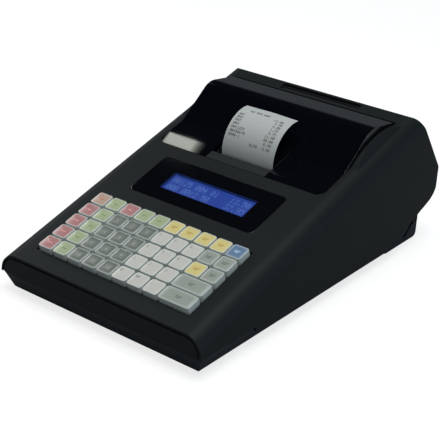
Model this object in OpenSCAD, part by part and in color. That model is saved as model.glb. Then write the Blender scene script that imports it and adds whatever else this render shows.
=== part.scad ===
// Ticket register: a wedge-shaped counter unit with a raised keyboard, a display window and
// a receipt printer under a hinged cover.
// Millimetres. +Z is up, +Y runs to the rear, the origin is the centre of the footprint.
//
// Two inner frames are used. The case frame has its origin at the front edge of the seam
// between the two case halves. The deck frame lies on the sloping deck: x across,
// s up the slope from the front crease, h square to the deck.

/* [Case] */
// Overall width
body_w = 222; // [216:1:236]
// Overall depth, front face to rear nose
body_d = 365; // [362:1:374]
// Height of the front face above the seam
front_h = 18.6; // [17.6:0.2:24]
// Slope of the deck, degrees
deck_angle = 16.9; // [16:0.1:18]
// Wall of both case halves
wall = 2.5; // [2:0.1:3]
// Radius of the shoulders along both sides of the deck
shoulder_r = 17.2; // [12:0.2:17.2]
// Radius of the rear nose
nose_r = 23.5; // [18:0.5:27]
// Height of the nose centre above the seam
nose_z = 42.5; // [40:0.5:48]
// Slope of the back above the nose, degrees
back_angle = 53; // [50:0.5:56]
// Slope of the underside below the nose, degrees
under_angle = 21; // [18:0.5:24]
// Radius between deck and back
back_corner_r = 7.2; // [5:0.2:9]
// Radius of the upright rear corners
rear_corner_r = 3.5; // [3.5:0.5:11]
// Width of the shadow groove round the front face
groove_w = 1.8; // [1:0.1:2]
// Depth of the shadow groove round the front face
groove_d = 1.5; // [0.6:0.1:1.6]

/* [Lower case] */
// Height of the lower case below the seam
lower_h = 17.6; // [16:0.2:22]
// How far the lower case is set in at its bottom edge
skirt_in = 8.6; // [7:0.2:11]
// How far the lower case is set in at the seam
skirt_top = 1.4; // [1:0.1:2]
// Radius of its bottom edge
skirt_r = 4.5; // [3:0.5:6]
// How far its rear wall stands in front of the nose
rear_in = 16.8; // [15:0.2:20]
// Drop of the upper case's side edges below the seam
side_drop = 4; // [3:0.5:5]
// Start of that drop behind the front face
side_drop_y = 71.5; // [55:0.5:90]
// Diameter of the rubber feet
foot_d = 15; // [12:1:17]
// Height of the feet below the lower case
foot_h = 1.8; // [1.5:0.1:4]

/* [Keyboard] */
// Distance from key to key
key_pitch = 16.75; // [16:0.05:16.8]
// Gap between two key caps at their base
key_gap = 0.55; // [0.4:0.05:0.9]
// How much a key cap narrows on each side
key_taper = 0.5; // [0.4:0.1:1.5]
// Height of the key caps above the deck
key_up = 4.4; // [3.8:0.1:6]
// Travel of a key
key_travel = 3; // [2.5:0.1:3.2]
// Middle of the keyboard up the slope
key_mid_s = 59.8; // [59:0.2:61.5]
// Width of the square key plunger
stem_w = 5.2; // [4.6:0.1:5.4]

/* [Display] */
// Width of the display window
window_w = 137.1; // [126:0.1:145]
// Length of the display window up the slope
window_l = 54.7; // [50:0.1:56]
// Thickness of the display window
window_t = 1.8; // [1.5:0.1:2]
// Corner radius of the display window
window_r = 5.4; // [3:0.2:8]
// Middle of the display window up the slope
window_s = 148.2; // [147:0.1:149]
// Width of the visible display glass
glass_w = 92; // [84:0.5:93]
// Length of the visible display glass
glass_l = 23.3; // [20:0.1:24]

/* [Printer cover] */
// Width of the printer cover
cover_w = 184.6; // [178:0.2:186]
// Front edge of the printer cover up the slope
cover_s = 191.1; // [190:0.1:192]
// Length of the printer cover up the slope
cover_l = 118.4; // [117:0.1:119]
// Thickness of the printer cover
cover_t = 2.2; // [2:0.1:2.4]
// Height of the hump above the deck
hump_h = 16.6; // [16:0.1:18]
// Radius of the hump's crest
crest_r = 21.7; // [16:0.1:23]
// Crest centre in front of the cover's rear edge
crest_back = 35.3; // [34:0.1:37]
// Slope of the hump's front, degrees
hump_front = 21.5; // [19:0.5:24]
// Slope of the hump's rear, degrees
hump_rear = 24; // [20:0.5:26]
// Radius of the hinge pins
pin_r = 1.5; // [1.3:0.1:1.7]
// Hinge axis in front of the cover's rear edge
hinge_in = 4.6; // [4.2:0.1:5]
// Height of the side cheeks above the deck
cheek_h = 7.2; // [6:0.2:8]

/* [Paper] */
// Width of the paper
paper_w = 57.5; // [56:0.5:58]
// Radius of the paper roll
roll_r = 26; // [20:0.5:26.5]
// Paper centre to the right of the body centre
paper_x = 1.9; // [0:0.1:2.5]
// Radius of the curl of the receipt
curl_r = 34.8; // [33:0.2:35.4]
// End of the receipt on that curl, degrees
curl_end = 71; // [68:1:110]
// Radius of the platen roller
platen_r = 5.9; // [5:0.1:6]
// Radius of the platen shaft
shaft_r = 2.4; // [2:0.1:2.6]

/* [Customer display] */
// Width of the pop-up housing
turret_w = 87.3; // [80:0.1:90]
// Thickness of the pop-up housing
turret_t = 6.3; // [5.5:0.1:6.6]
// Middle of the pop-up housing to the right of the body centre
turret_x = 4.3; // [0:0.1:5]
// How far the housing rises
turret_rise = 38; // [34:1:40]
// Length of the housing that stays in its guide when it is raised
turret_hold = 11; // [8:0.5:13]

/* [Clearances] */
// Gap round covers, windows and sliding parts
gap = 0.3; // [0.25:0.05:0.4]
// Radial clearance of shafts and pins in their bores
run_fit = 0.05; // [0.03:0.01:0.08]

/* [Hidden] */
$fn = 64;
KEY_ROWS = 5;
KEY_COLUMNS = 10;
// Key colours by row from the rear, by column from the left
KEY_COLOURS = [
    ["salmon", "lightgreen", "pink", "lightgreen", "lightgreen",
     "khaki", "khaki", "khaki", "khaki", "lightsteelblue"],
    ["pink", "lightgreen", "darkgray", "darkgray", "darkgray",
     "white", "white", "white", "gainsboro", "gainsboro"],
    ["pink", "lightgreen", "darkgray", "darkgray", "darkgray",
     "white", "white", "white", "khaki", "gainsboro"],
    ["pink", "lightgreen", "darkgray", "darkgray", "darkgray",
     "white", "white", "white", "gainsboro"],
    ["pink", "lightgreen", "darkgray", "darkgray", "darkgray",
     "white", "white", "white", "gainsboro"]
];
KEYS = [for (row = [1:KEY_ROWS]) for (column = [1:len(KEY_COLOURS[row - 1])]) [row, column]];

function key_name(k) = str("key_row", k[0], "_col", k[1]);
function is_wide(k) = k[1] == len(KEY_COLOURS[k[0] - 1]) && k[1] < KEY_COLUMNS;

// Case profile: outward normals, and the distance of each line from the case frame's origin
deck_n = [-sin(deck_angle), cos(deck_angle)];
back_n = [sin(back_angle), cos(back_angle)];
under_n = [sin(under_angle), -cos(under_angle)];
nose_c = [body_d - nose_r, nose_z];
deck_off = front_h * cos(deck_angle);
// Round edges stand this much proud, so that they cross the flats at a slight angle
blend = 0.03;
back_off = back_n * nose_c + nose_r - blend;
under_off = under_n * nose_c + nose_r - blend;
reach = body_d;
seam_z = foot_h + lower_h;

// Point where two lines meet, each given by its normal and its distance from the origin
function meet(n1, o1, n2, o2) =
    let (det = n1[0] * n2[1] - n1[1] * n2[0])
    [(o1 * n2[1] - n1[1] * o2) / det, (n1[0] * o2 - o1 * n2[0]) / det];
corner_c = meet(deck_n, deck_off - back_corner_r, back_n, back_off - back_corner_r);
function under_y(z) = (under_off - under_n[1] * z) / under_n[0];
function under_z(y) = (under_off - under_n[0] * y) / under_n[1];
// A point of the deck frame, [s, h], in the case frame, [y, z]
function deck_point(s, h) = [
    s * cos(deck_angle) - h * sin(deck_angle),
    front_h + s * sin(deck_angle) + h * cos(deck_angle)
];

// Printer cover, in the deck frame
cover_end = cover_s + cover_l;
crest_c = [cover_end - crest_back, hump_h - crest_r];
front_n = [-sin(hump_front), cos(hump_front)];
rear_n = [sin(hump_rear), cos(hump_rear)];
hinge = [cover_end - hinge_in, 0];
valley = 5;
bar_s = cover_end + valley;
ledge_w = 4.5;
pan_h = 7.2;
pan_wall = 2;
pin_l = 3;
cheek_l = 72.5;
cheek_flat = 1.8;
cheek_run = 7.7;
cheek_drop = 11.8;

// Notch of the cover, tear bar and paper exit
notch_x0 = paper_x - paper_w / 2 - 9.4;
notch_x1 = paper_x + paper_w / 2 + 0.8;
tear_end = cover_s + 11;
chute_s = tear_end + 4.6;
chute_h = -8.1;
chute_t = 1.8;
chute_end = [cover_s + 42.8, 2.1];

// Platen, mechanism and paper roll
platen_c = [cover_s + 20.2, -15.4];
lug_t = 2.8;
platen_x0 = paper_x - paper_w / 2 - 0.9;
platen_x1 = paper_x + paper_w / 2 + 0.9;
side_gap = 1.4;
head_gap = 0.75;
plate_t = 1.5;
gear_w = 3.6;
gearbox_w = 5.4;
gearbox_front = 10;
gearbox_rear = 13;
motor_r = 9.25;
motor_l = 15.05;
motor_room = 20;
head_lift = 5.5;
touch = 0.05;
gear_teeth = 20;
gear_module = 0.5;
well_floor = -33.5;
well_x0 = notch_x0 - chute_t - 3.1;
well_x1 = platen_x1 + 30;
well_s1 = cover_s + 40.5;
roll_c = [cover_end - 43.4, -18.1];
bucket_r = roll_r + 3;
bucket_side = 1;
bucket_t = 2;
core_r = 8;
up = [sin(deck_angle), cos(deck_angle)];
bucket_c = roll_c + (bucket_r - roll_r - gap) * up;
curl_c = [cover_s + 47.8, -9.5];
curl_start = 183;
paper_t = 0.3;

// Customer display, in the case frame
turret_y = (bar_s + 6.3) * cos(deck_angle);
turret_sunk = 2.7;
turret_h = turret_rise + turret_hold;
turret_top = front_h + turret_y * tan(deck_angle) - turret_sunk;
turret_foot = turret_top - turret_h;

// Keyboard, in the deck frame
field_w = KEY_COLUMNS * key_pitch;
field_l = KEY_ROWS * key_pitch;
well_margin = 0.7;
key_bottom = -wall;
guide_top = key_bottom - key_travel - 0.5;
guide_t = 2;
stem_bottom = guide_top - guide_t - 1.6;
mat_top = stem_bottom - key_travel - gap;
mat_t = 1.2;
board_t = 1.6;
rim = 5.5;
collar_r = stem_w * 0.75;
collar_t = 1.2;

// Display module, in the deck frame
pad_h = 4.2;
pad_margin = 4.5;
glass_x = 1.8;
glass_s = window_s - 0.7;
bezel_w = glass_w + 8;
bezel_l = glass_l + 8;
bezel_h = 7.5;
lcd_w = bezel_w + 14;
lcd_l = bezel_l + 8;
lcd_top = -window_t - 0.5;
lcd_post_r = 2.6;
lcd_post_in = 3.2;

// Inner posts and screws, in the case frame
post_r = 3.8;
screw_r = 1.45;
head_r = 2.8;
head_t = 2.2;
screw_in = 9;
screw_x = body_w / 2 - 17;
SCREW_Y = [15, 172, 270];
foot_x = body_w / 2 - 27.5;
FOOT_Y = [28, 316];
foot_sunk = 1.2;
vent_pitch = 8;
vent_w = 3;
vent_y = 186;
vent_l = 36;

// Main board and its sockets, in the case frame
board_x = 77;
board_y0 = 237;
board_z = wall - lower_h + 7.2;
rear_wall_y = body_d - rear_in;
board_top = board_z + board_t;
// Sockets of the main board: left side, width, height, cavity width, cavity height, depth
SOCKETS = [
    [2, 16, 13.4, 11.8, 7, 15],
    [32, 13.4, 13.4, 9.8, 7, 15]
];
jack_x = 60;
jack_w = 9;
jack_h = 11;
jack_r = 3;

// ---------- frames and helpers ----------

module case_frame() {
    translate([0, -body_d / 2, seam_z]) children();
}

module tilt() {
    translate([0, 0, front_h]) rotate([deck_angle, 0, 0]) children();
}

module deck_frame() {
    case_frame() tilt() children();
}

// A block given by its corner planes
module block(x0, x1, y0, y1, z0, z1) {
    translate([x0, y0, z0]) cube([x1 - x0, y1 - y0, z1 - z0]);
}

// Extrudes a side view, drawn as [y, z], across the body
module across(x0, x1) {
    translate([x0, 0, 0]) rotate([90, 0, 90]) linear_extrude(height = x1 - x0) children();
}

// Extrudes a front view, drawn as [x, z], along the body
module along(y0, y1) {
    translate([0, y1, 0]) rotate([90, 0, 0]) linear_extrude(height = y1 - y0) children();
}

module rod(x0, x1, c, r) {
    across(x0, x1) translate(c) circle(r);
}

module both_sides() {
    children();
    mirror([1, 0, 0]) children();
}

module rounded(w, l, r) {
    square([w - 2 * r, l], center = true);
    square([w, l - 2 * r], center = true);
    for (x = [-1, 1], y = [-1, 1]) {
        translate([x * (w / 2 - r), y * (l / 2 - r)]) circle(r);
    }
}

// ---------- upper case ----------

// Side view of the case, set in by t, from height z0 up
module case_side(t, z0) {
    polygon([
        [t, z0],
        meet([0, 1], z0, under_n, under_off - t),
        nose_c + (nose_r - blend - t) * under_n,
        nose_c,
        nose_c + (nose_r - blend - t) * back_n,
        corner_c + (back_corner_r - t) * back_n,
        corner_c,
        corner_c + (back_corner_r - t) * deck_n,
        meet([1, 0], t, deck_n, deck_off - t)
    ]);
    translate(corner_c) circle(back_corner_r + blend - t);
    translate(nose_c) circle(nose_r - t);
}

// Section square to the deck: sides and round shoulders, open above the deck
module case_section(t) {
    flat = body_w / 2 - shoulder_r;
    translate([t - body_w / 2, -reach]) square([body_w - 2 * t, reach - shoulder_r + blend]);
    translate([-flat, -reach]) square([2 * flat, reach + 10]);
    for (side = [-1, 1]) {
        translate([side * flat, blend - shoulder_r]) circle(shoulder_r - t);
    }
}

// Plan that rounds the upright rear corners, open at the sides and behind the nose
module case_plan(t) {
    flat = body_w / 2 - rear_corner_r;
    translate([-body_w, -10]) square([2 * body_w, body_d - rear_corner_r + blend + 10]);
    translate([-flat, -10]) square([2 * flat, body_d + 20]);
    for (side = [-1, 1]) {
        translate([side * (flat + blend), body_d - rear_corner_r + blend]) circle(rear_corner_r - t);
    }
}

// The whole outer form of the upper case, set in by t, in the case frame
module case_solid(t, z0) {
    intersection() {
        across(-body_w, body_w) case_side(t, z0);
        tilt() along(-reach / 4, reach * 1.2) case_section(t);
        translate([0, 0, -reach / 4]) linear_extrude(height = reach) case_plan(t);
    }
}

module front_outline(t) {
    flat = body_w / 2 - shoulder_r;
    translate([t - body_w / 2, 0]) square([body_w - 2 * t, front_h - shoulder_r]);
    translate([-flat, 0]) square([2 * flat, front_h - t]);
    intersection() {
        translate([-body_w / 2, 0]) square([body_w, front_h]);
        for (side = [-1, 1]) {
            translate([side * flat, front_h - shoulder_r]) circle(shoulder_r - t);
        }
    }
}

module front_groove() {
    along(-1, groove_d) difference() {
        front_outline(groove_w);
        front_outline(2 * groove_w);
    }
}

// Lower edge of the upper case's sides, behind the front
module side_edge() {
    across(body_w / 2 - wall, body_w / 2) polygon([
        [side_drop_y, 1],
        [side_drop_y, -side_drop],
        [under_y(-side_drop) - blend, -side_drop],
        [under_y(1) - blend, 1]
    ]);
}

// Outline of the cover in plan, grown by g, with round front corners
module cover_plan(g, s1) {
    half = cover_w / 2;
    r = 7.2;
    translate([-half - g, cover_s + r]) square([cover_w + 2 * g, s1 - cover_s - r]);
    translate([r - half, cover_s - g]) square([cover_w - 2 * r, s1 - cover_s + g]);
    for (side = [-1, 1]) {
        translate([side * (half - r), cover_s + r]) circle(r + g);
    }
}

// Raised cheek that closes the shoulder beside the hump
module cheek() {
    x0 = cover_w / 2 + gap;
    s_mid = cover_end - cheek_l / 2 + 1.8;
    r = (cheek_l * cheek_l / 4 + cheek_h * cheek_h) / (2 * cheek_h);
    intersection() {
        rod(x0 - 1, x0 + cheek_flat + cheek_run + 1, [s_mid, cheek_h - r], r);
        along(s_mid - cheek_l / 2 - 1, s_mid + cheek_l / 2 + 1) polygon([
            [x0 - 1, cheek_h],
            [x0 - 1, -wall],
            [x0 + cheek_flat, cheek_h - cheek_drop],
            [x0 + cheek_flat + cheek_run, cheek_h - cheek_drop],
            [x0 + cheek_flat, cheek_h]
        ]);
    }
}

// Cross-section of the bucket for the paper roll, wall grown by g
module bucket_shape(g, top) {
    r = bucket_r + g;
    translate(bucket_c) circle(r);
    translate([blend - r, 0] + bucket_c) square([2 * (r - blend), top - bucket_c[1]]);
}

// Solid that the printer bay is cut from, in the deck frame
module bay_block() {
    half = cover_w / 2 + gap + pan_wall;
    block(-half, half, cover_s - gap - pan_wall, bar_s + pan_wall, -pan_h - pan_wall, -wall / 2);
    across(paper_x - paper_w / 2 - bucket_side - bucket_t, paper_x + paper_w / 2 + bucket_side + bucket_t)
        bucket_shape(bucket_t, -pan_h - 1);
    block(well_x0 - pan_wall, well_x1 + pan_wall,
        cover_s + ledge_w - pan_wall, bucket_c[0] - bucket_r + 4, well_floor - pan_wall, -pan_h - 1);
    block(-window_w / 2 - pad_margin, window_w / 2 + pad_margin,
        window_s - window_l / 2 - pad_margin, window_s + window_l / 2 + pad_margin, -pad_h, -wall / 2);
}

module bay_cuts() {
    half = cover_w / 2;
    translate([0, 0, -cover_t - gap]) linear_extrude(height = 60) cover_plan(gap, bar_s);
    block(ledge_w - half, half - ledge_w, cover_s + ledge_w, bar_s, -pan_h, 1);
    block(-half - gap, half + gap, hinge[0] - hinge_in - valley / 2, bar_s, -pan_h, 1);
    across(paper_x - paper_w / 2 - bucket_side, paper_x + paper_w / 2 + bucket_side)
        bucket_shape(0, 1 - pan_h);
    block(well_x0, well_x1, cover_s + ledge_w, well_s1, well_floor, 1 - pan_h);
    block(paper_x - paper_w / 2 - bucket_side, paper_x + paper_w / 2 + bucket_side,
        well_s1 - 1, bucket_c[0] - bucket_r + 6, -30, 1 - pan_h);
    rod(-half - gap - pin_l - gap, half + gap + pin_l + gap, hinge, pin_r + run_fit);
}

module hinge_boss() {
    x0 = cover_w / 2 + gap;
    block(x0, x0 + pin_l + 2, hinge[0] - 5, hinge[0] + 5, -6, -wall / 2);
}

module deck_cuts() {
    half_w = field_w / 2 + well_margin;
    half_l = field_l / 2 + well_margin;
    block(-half_w, half_w, key_mid_s - half_l, key_mid_s + half_l, -20, 10);
    translate([0, window_s, -window_t - 0.05]) linear_extrude(height = 20)
        rounded(window_w + gap, window_l + gap, window_r);
    block(glass_x - bezel_w / 2 - 2 * gap, glass_x + bezel_w / 2 + 2 * gap,
        glass_s - bezel_l / 2 - 2 * gap, glass_s + bezel_l / 2 + 2 * gap, -20, 10);
}

// Guide shaft of the customer display, wall grown by g, in the case frame
module turret_shape(g, z0, z1) {
    half = turret_w / 2 + gap + g;
    deep = turret_t / 2 + gap + g;
    block(turret_x - half, turret_x + half, turret_y - deep, turret_y + deep, z0, z1);
}

module turret_cuts() {
    turret_shape(0, turret_foot - 0.05, 2 * turret_top);
    tilt() block(turret_x - turret_w / 2 - 1, turret_x + turret_w / 2 + 1,
        bar_s + 2.3, bar_s + 10.9, -turret_sunk, 20);
}

module lcd_posts() {
    for (x = [-1, 1], y = [-1, 1]) {
        translate([glass_x + x * (lcd_w / 2 - lcd_post_in), glass_s + y * (lcd_l / 2 - lcd_post_in),
            lcd_top - bezel_h])
            cylinder(r = lcd_post_r, h = bezel_h - 1);
    }
}

module screw_posts() {
    for (x = [-1, 1], y = SCREW_Y) {
        translate([x * screw_x, y, 0]) cylinder(r = post_r, h = reach / 3);
    }
}

module screw_bores() {
    for (x = [-1, 1], y = SCREW_Y) {
        translate([x * screw_x, y, -1]) cylinder(r = screw_r + run_fit, h = screw_in + 3);
    }
}

module upper_case() {
    color([0.13, 0.14, 0.15]) case_frame() difference() {
        union() {
            difference() {
                case_solid(0, 0);
                case_solid(wall, -10);
            }
            both_sides() side_edge();
            intersection() {
                case_solid(wall / 2, 0);
                union() {
                    screw_posts();
                    turret_shape(2, turret_foot - 2, 2 * turret_top);
                    tilt() bay_block();
                    tilt() both_sides() hinge_boss();
                    tilt() lcd_posts();
                }
            }
            tilt() both_sides() cheek();
        }
        front_groove();
        screw_bores();
        turret_cuts();
        tilt() bay_cuts();
        tilt() deck_cuts();
    }
}

// ---------- lower case ----------

// Slanted and rounded edge of the tray, set in by t: [distance in from the body edge, z]
skirt_run = skirt_in - skirt_top;
skirt_len = sqrt(skirt_run * skirt_run + lower_h * lower_h);
skirt_n = [-lower_h, -skirt_run] / skirt_len;
skirt_c = meet(skirt_n, skirt_n * [skirt_top, 0] - skirt_r, [0, -1], lower_h - skirt_r);

module tray_front(t, top) {
    side = meet(skirt_n, skirt_n * [skirt_top, 0] - t, [0, 1], top);
    edge = skirt_c + (skirt_r - t) * skirt_n;
    half = body_w / 2;
    polygon([
        [side[0] - half, top],
        [edge[0] - half, edge[1]],
        [skirt_c[0] - half, t - lower_h],
        [half - skirt_c[0], t - lower_h],
        [half - edge[0], edge[1]],
        [half - side[0], top]
    ]);
    for (x = [-1, 1]) {
        translate([x * (half - skirt_c[0]), skirt_c[1]]) circle(skirt_r + blend - t);
    }
}

module tray_side(t, top) {
    front = meet(skirt_n, skirt_n * [skirt_top, 0] - t, [0, 1], top);
    edge = skirt_c + (skirt_r - t) * skirt_n;
    polygon([
        front,
        edge,
        [skirt_c[0], t - lower_h],
        [under_y(0) - t, t - lower_h],
        [under_y(0) - t, top]
    ]);
    translate(skirt_c) circle(skirt_r + blend - t);
}

module tray_solid(t, top) {
    intersection() {
        along(0, body_d) tray_front(t, top);
        across(-body_w / 2, body_w / 2) tray_side(t, top);
    }
}

// Rear part of the lower case, under the overhang of the nose
module rear_solid() {
    half = body_w / 2 - skirt_in;
    y0 = under_y(0) - 2 * wall;
    across(-half, half) union() {
        polygon([
            [y0, -lower_h],
            [rear_wall_y - skirt_r, -lower_h],
            [rear_wall_y - skirt_r, skirt_r - lower_h],
            [rear_wall_y, skirt_r - lower_h],
            [rear_wall_y, under_z(rear_wall_y)],
            [under_y(0), 0],
            [y0, 0]
        ]);
        translate([rear_wall_y - skirt_r, skirt_r - lower_h]) circle(skirt_r);
    }
}

module rear_hollow() {
    half = body_w / 2 - skirt_in - wall;
    block(-half, half, under_y(0) - 4 * wall, rear_wall_y - wall, wall - lower_h, reach / 4);
}

// Where the upper case's side edges reach down, the tray is set in to clear them
module lip_cut() {
    block(body_w / 2 - wall - gap, body_w / 2 + 1, side_drop_y - gap, body_d,
        -side_drop - gap, 1);
}

// Slanted slot for a cord in the right side of the rear part
module cord_slot() {
    half = body_w / 2 - skirt_in;
    across(half - wall - 1, half + 1) translate([rear_wall_y - 16.3, -5.9]) rotate(40)
        square([20, 3.6], center = true);
}

module socket_holes() {
    for (k = SOCKETS) {
        block(k[0] - gap, k[0] + k[1] + gap, rear_wall_y - wall - 1, rear_wall_y + 1,
            board_top - gap, board_top + k[2] + gap);
    }
    block(jack_x - gap, jack_x + jack_w + gap, rear_wall_y - wall - 1, rear_wall_y + 1,
        board_top - gap, board_top + jack_h + gap);
}

module vent_slots() {
    for (n = [-5:5]) {
        block(n * vent_pitch - vent_w / 2, n * vent_pitch + vent_w / 2, vent_y, vent_y + vent_l,
            -lower_h - 1, wall - lower_h + 1);
    }
}

module floor_posts() {
    for (x = [-1, 1], y = SCREW_Y) {
        translate([x * screw_x, y, wall / 2 - lower_h]) cylinder(r = post_r + 0.5, h = lower_h - wall / 2);
    }
    for (x = [-1, 1], y = [board_y0 + 8, rear_wall_y - 24]) {
        translate([x * (board_x - 6), y, wall / 2 - lower_h])
            cylinder(r = 3.5, h = board_z - wall / 2 + lower_h);
    }
}

module floor_cuts() {
    for (x = [-1, 1], y = SCREW_Y) {
        translate([x * screw_x, y, -lower_h - 1]) {
            cylinder(r = head_r + gap, h = lower_h + 1 - screw_in);
            cylinder(r = screw_r + gap, h = lower_h + 2);
        }
    }
    for (x = [-1, 1], y = FOOT_Y) {
        translate([x * foot_x, y, -lower_h - 1]) cylinder(d = foot_d + gap, h = foot_sunk + 1);
    }
}

module lower_case() {
    color([0.17, 0.18, 0.19]) case_frame() difference() {
        union() {
            difference() {
                union() {
                    tray_solid(0, 0);
                    rear_solid();
                }
                tray_solid(wall, 1);
                rear_hollow();
            }
            floor_posts();
        }
        both_sides() lip_cut();
        cord_slot();
        socket_holes();
        vent_slots();
        floor_cuts();
    }
}

// ---------- printer cover ----------

// Side view of the hump, set in by t, down to height z0
module hump_side(t, z0) {
    r = crest_r - blend - t;
    start = meet(front_n, front_n * crest_c + r, [0, 1], z0);
    front = crest_c + r * front_n;
    rear = crest_c + r * rear_n;
    end = meet(rear_n, rear_n * crest_c + r, [1, 0], cover_end - t);
    polygon([start, [cover_end - t, z0], end, rear, [crest_c[0], z0], front]);
    intersection() {
        translate(crest_c) circle(crest_r - t);
        translate([front[0] - 3, z0]) square([rear[0] - front[0] + 6, 2 * hump_h]);
    }
}

module cover_shell() {
    half = cover_w / 2;
    difference() {
        intersection() {
            across(-half, half) union() {
                translate([cover_s, -cover_t]) square([cover_l, cover_t]);
                hump_side(0, -cover_t);
            }
            translate([0, 0, -reach / 2]) linear_extrude(height = reach) cover_plan(0, cover_end);
        }
        across(cover_t - half, half - cover_t) hump_side(cover_t, -cover_t - 1);
    }
}

// Sloping wall behind the paper, which carries the platen's lugs
module chute() {
    run = chute_end - [chute_s, chute_h];
    side = [run[1], -run[0]] / norm(run) * chute_t;
    foot = [chute_s, chute_h];
    across(notch_x0 - chute_t, notch_x1 + chute_t)
        polygon([foot, foot + side, chute_end + side, chute_end]);
    for (x = [notch_x0 - chute_t, notch_x1]) {
        across(x, x + chute_t) polygon([
            foot,
            foot + side,
            chute_end + side,
            chute_end,
            [cover_s + 37, -cover_t / 2],
            [chute_s, -cover_t / 2]
        ]);
    }
}

module chute_cut() {
    across(notch_x0, notch_x1) polygon([
        [cover_s - 1, chute_h],
        [chute_s, chute_h],
        chute_end,
        chute_end + [4, 8],
        [cover_s - 1, 20]
    ]);
}

// Ear that holds one end of the platen shaft
module platen_lug(x0) {
    across(x0, x0 + lug_t) union() {
        translate(platen_c) circle(shaft_r + 3);
        polygon([
            platen_c + [-shaft_r - 3 + 1, 0],
            platen_c + [shaft_r + 3, 0],
            platen_c + [shaft_r + 8, 14],
            platen_c + [-shaft_r - 3 + 1, 8.6]
        ]);
    }
}

module printer_cover() {
    half = cover_w / 2;
    color([0.05, 0.05, 0.06]) deck_frame() difference() {
        union() {
            difference() {
                union() {
                    cover_shell();
                    chute();
                }
                chute_cut();
            }
            platen_lug(platen_x0 - gap - lug_t);
            platen_lug(platen_x1 + gap);
            both_sides() rod(half - cover_t, half + gap + pin_l, hinge, pin_r);
        }
        rod(platen_x0 - 2 * lug_t, platen_x1 + 2 * lug_t, platen_c, shaft_r + run_fit);
    }
}

// ---------- platen, paper roll and receipt ----------

// Spur gear outline: square-cut teeth on the root circle
module gear_2d(teeth, module_size, bore) {
    root = module_size * (teeth / 2 - 1.2);
    tip = module_size * (teeth / 2 + 1);
    difference() {
        union() {
            circle(root);
            for (k = [0:teeth - 1]) {
                rotate(k * 360 / teeth) polygon([
                    [root - 0.3, -module_size * 0.95],
                    [tip, -module_size * 0.4],
                    [tip, module_size * 0.4],
                    [root - 0.3, module_size * 0.95]
                ]);
            }
        }
        circle(bore);
    }
}

plate_left = platen_x0 - gap - lug_t - side_gap;
plate_right = platen_x1 + gap + lug_t + side_gap;
gear_x = plate_right + plate_t + 1;
shaft_x0 = plate_left - plate_t - 2;
shaft_x1 = gear_x + gear_w + 0.6;

module platen_roller() {
    deck_frame() {
        color("dimgray") across(platen_x0, platen_x1) translate(platen_c) difference() {
            circle(platen_r);
            circle(shaft_r + 0.02);
        }
        color("silver") rod(shaft_x0, shaft_x1, platen_c, shaft_r);
        color("white") across(gear_x, gear_x + gear_w) translate(platen_c)
            gear_2d(gear_teeth, gear_module, shaft_r + 0.02);
    }
}

module paper_roll() {
    x0 = paper_x - paper_w / 2;
    deck_frame() {
        color("white") across(x0, x0 + paper_w) translate(roll_c) difference() {
            circle(roll_r);
            circle(core_r + 0.02);
        }
        color("tan") across(x0, x0 + paper_w) translate(roll_c) difference() {
            circle(core_r);
            circle(core_r - 2);
        }
    }
}

module receipt() {
    x0 = paper_x - paper_w / 2;
    far = 3 * curl_r;
    middle = (curl_end + curl_start) / 2;
    color("white") deck_frame() across(x0, x0 + paper_w) translate(curl_c) intersection() {
        difference() {
            circle(curl_r + paper_t / 2, $fn = 180);
            circle(curl_r - paper_t / 2, $fn = 180);
        }
        polygon([
            [0, 0],
            far * [cos(curl_end), sin(curl_end)],
            far * [cos(middle), sin(middle)],
            far * [cos(curl_start), sin(curl_start)]
        ]);
    }
}

// ---------- printer mechanism ----------

// Side plate with an open slot for the platen shaft
module side_plate(x0) {
    slot_front = platen_c[0] - shaft_r - 1.4;
    slot_rear = platen_c[0] + shaft_r + 0.3;
    slot_floor = platen_c[1] - shaft_r - gap;
    top = platen_c[1] + 4.6;
    s0 = cover_s + ledge_w + 2;
    s1 = well_s1 - 4;
    across(x0, x0 + plate_t) polygon([
        [s0, well_floor],
        [s1, well_floor],
        [s1, well_floor + 8],
        [s1 - 6, top - 4],
        [slot_rear + 2, top],
        [slot_rear, top - 2],
        [slot_rear, slot_floor],
        [slot_front, slot_floor],
        [slot_front, top - 2],
        [slot_front - 1, top],
        [s0, top]
    ]);
}

module mechanism_frame() {
    s0 = cover_s + ledge_w + 2 * gap;
    s1 = well_s1 - 4;
    x0 = plate_left - plate_t;
    x1 = plate_right + plate_t;
    block(x0, x1 + motor_room, s0, s1, well_floor, well_floor + plate_t);
    side_plate(x0);
    side_plate(plate_right);
    block(x0, x1, s0, s0 + plate_t + 0.5, well_floor, -cover_t - gap + 0.1);
    block(notch_x0 + 2 * gap, notch_x1 - 2 * gap, cover_s + 2 * gap, tear_end, -cover_t - gap, -0.4);
}

module printer_mechanism() {
    head_s0 = cover_s + ledge_w + 2 * gap + plate_t + 0.55;
    motor_c = [platen_c[0] + 4, well_floor + plate_t + motor_r + touch];
    box_x0 = plate_right + plate_t + touch;
    box_x1 = box_x0 + gearbox_w;
    deck_frame() {
        color("gray") mechanism_frame();
        // thermal head on its heat sink
        color("lightslategray") block(plate_left + gap, plate_right - gap,
            head_s0, platen_c[0] - platen_r - head_gap, well_floor + plate_t + head_lift, platen_c[1] + 2);
        // closed gearbox beside the right plate
        color("ivory") block(box_x0, box_x1, platen_c[0] - gearbox_front, platen_c[0] + gearbox_rear,
            well_floor + plate_t, platen_c[1] - gear_teeth * gear_module / 2 - 1.4);
        // motor
        color("silver") rod(box_x1 + touch, box_x1 + touch + motor_l, motor_c, motor_r);
    }
}

// ---------- customer display and window ----------

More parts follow.
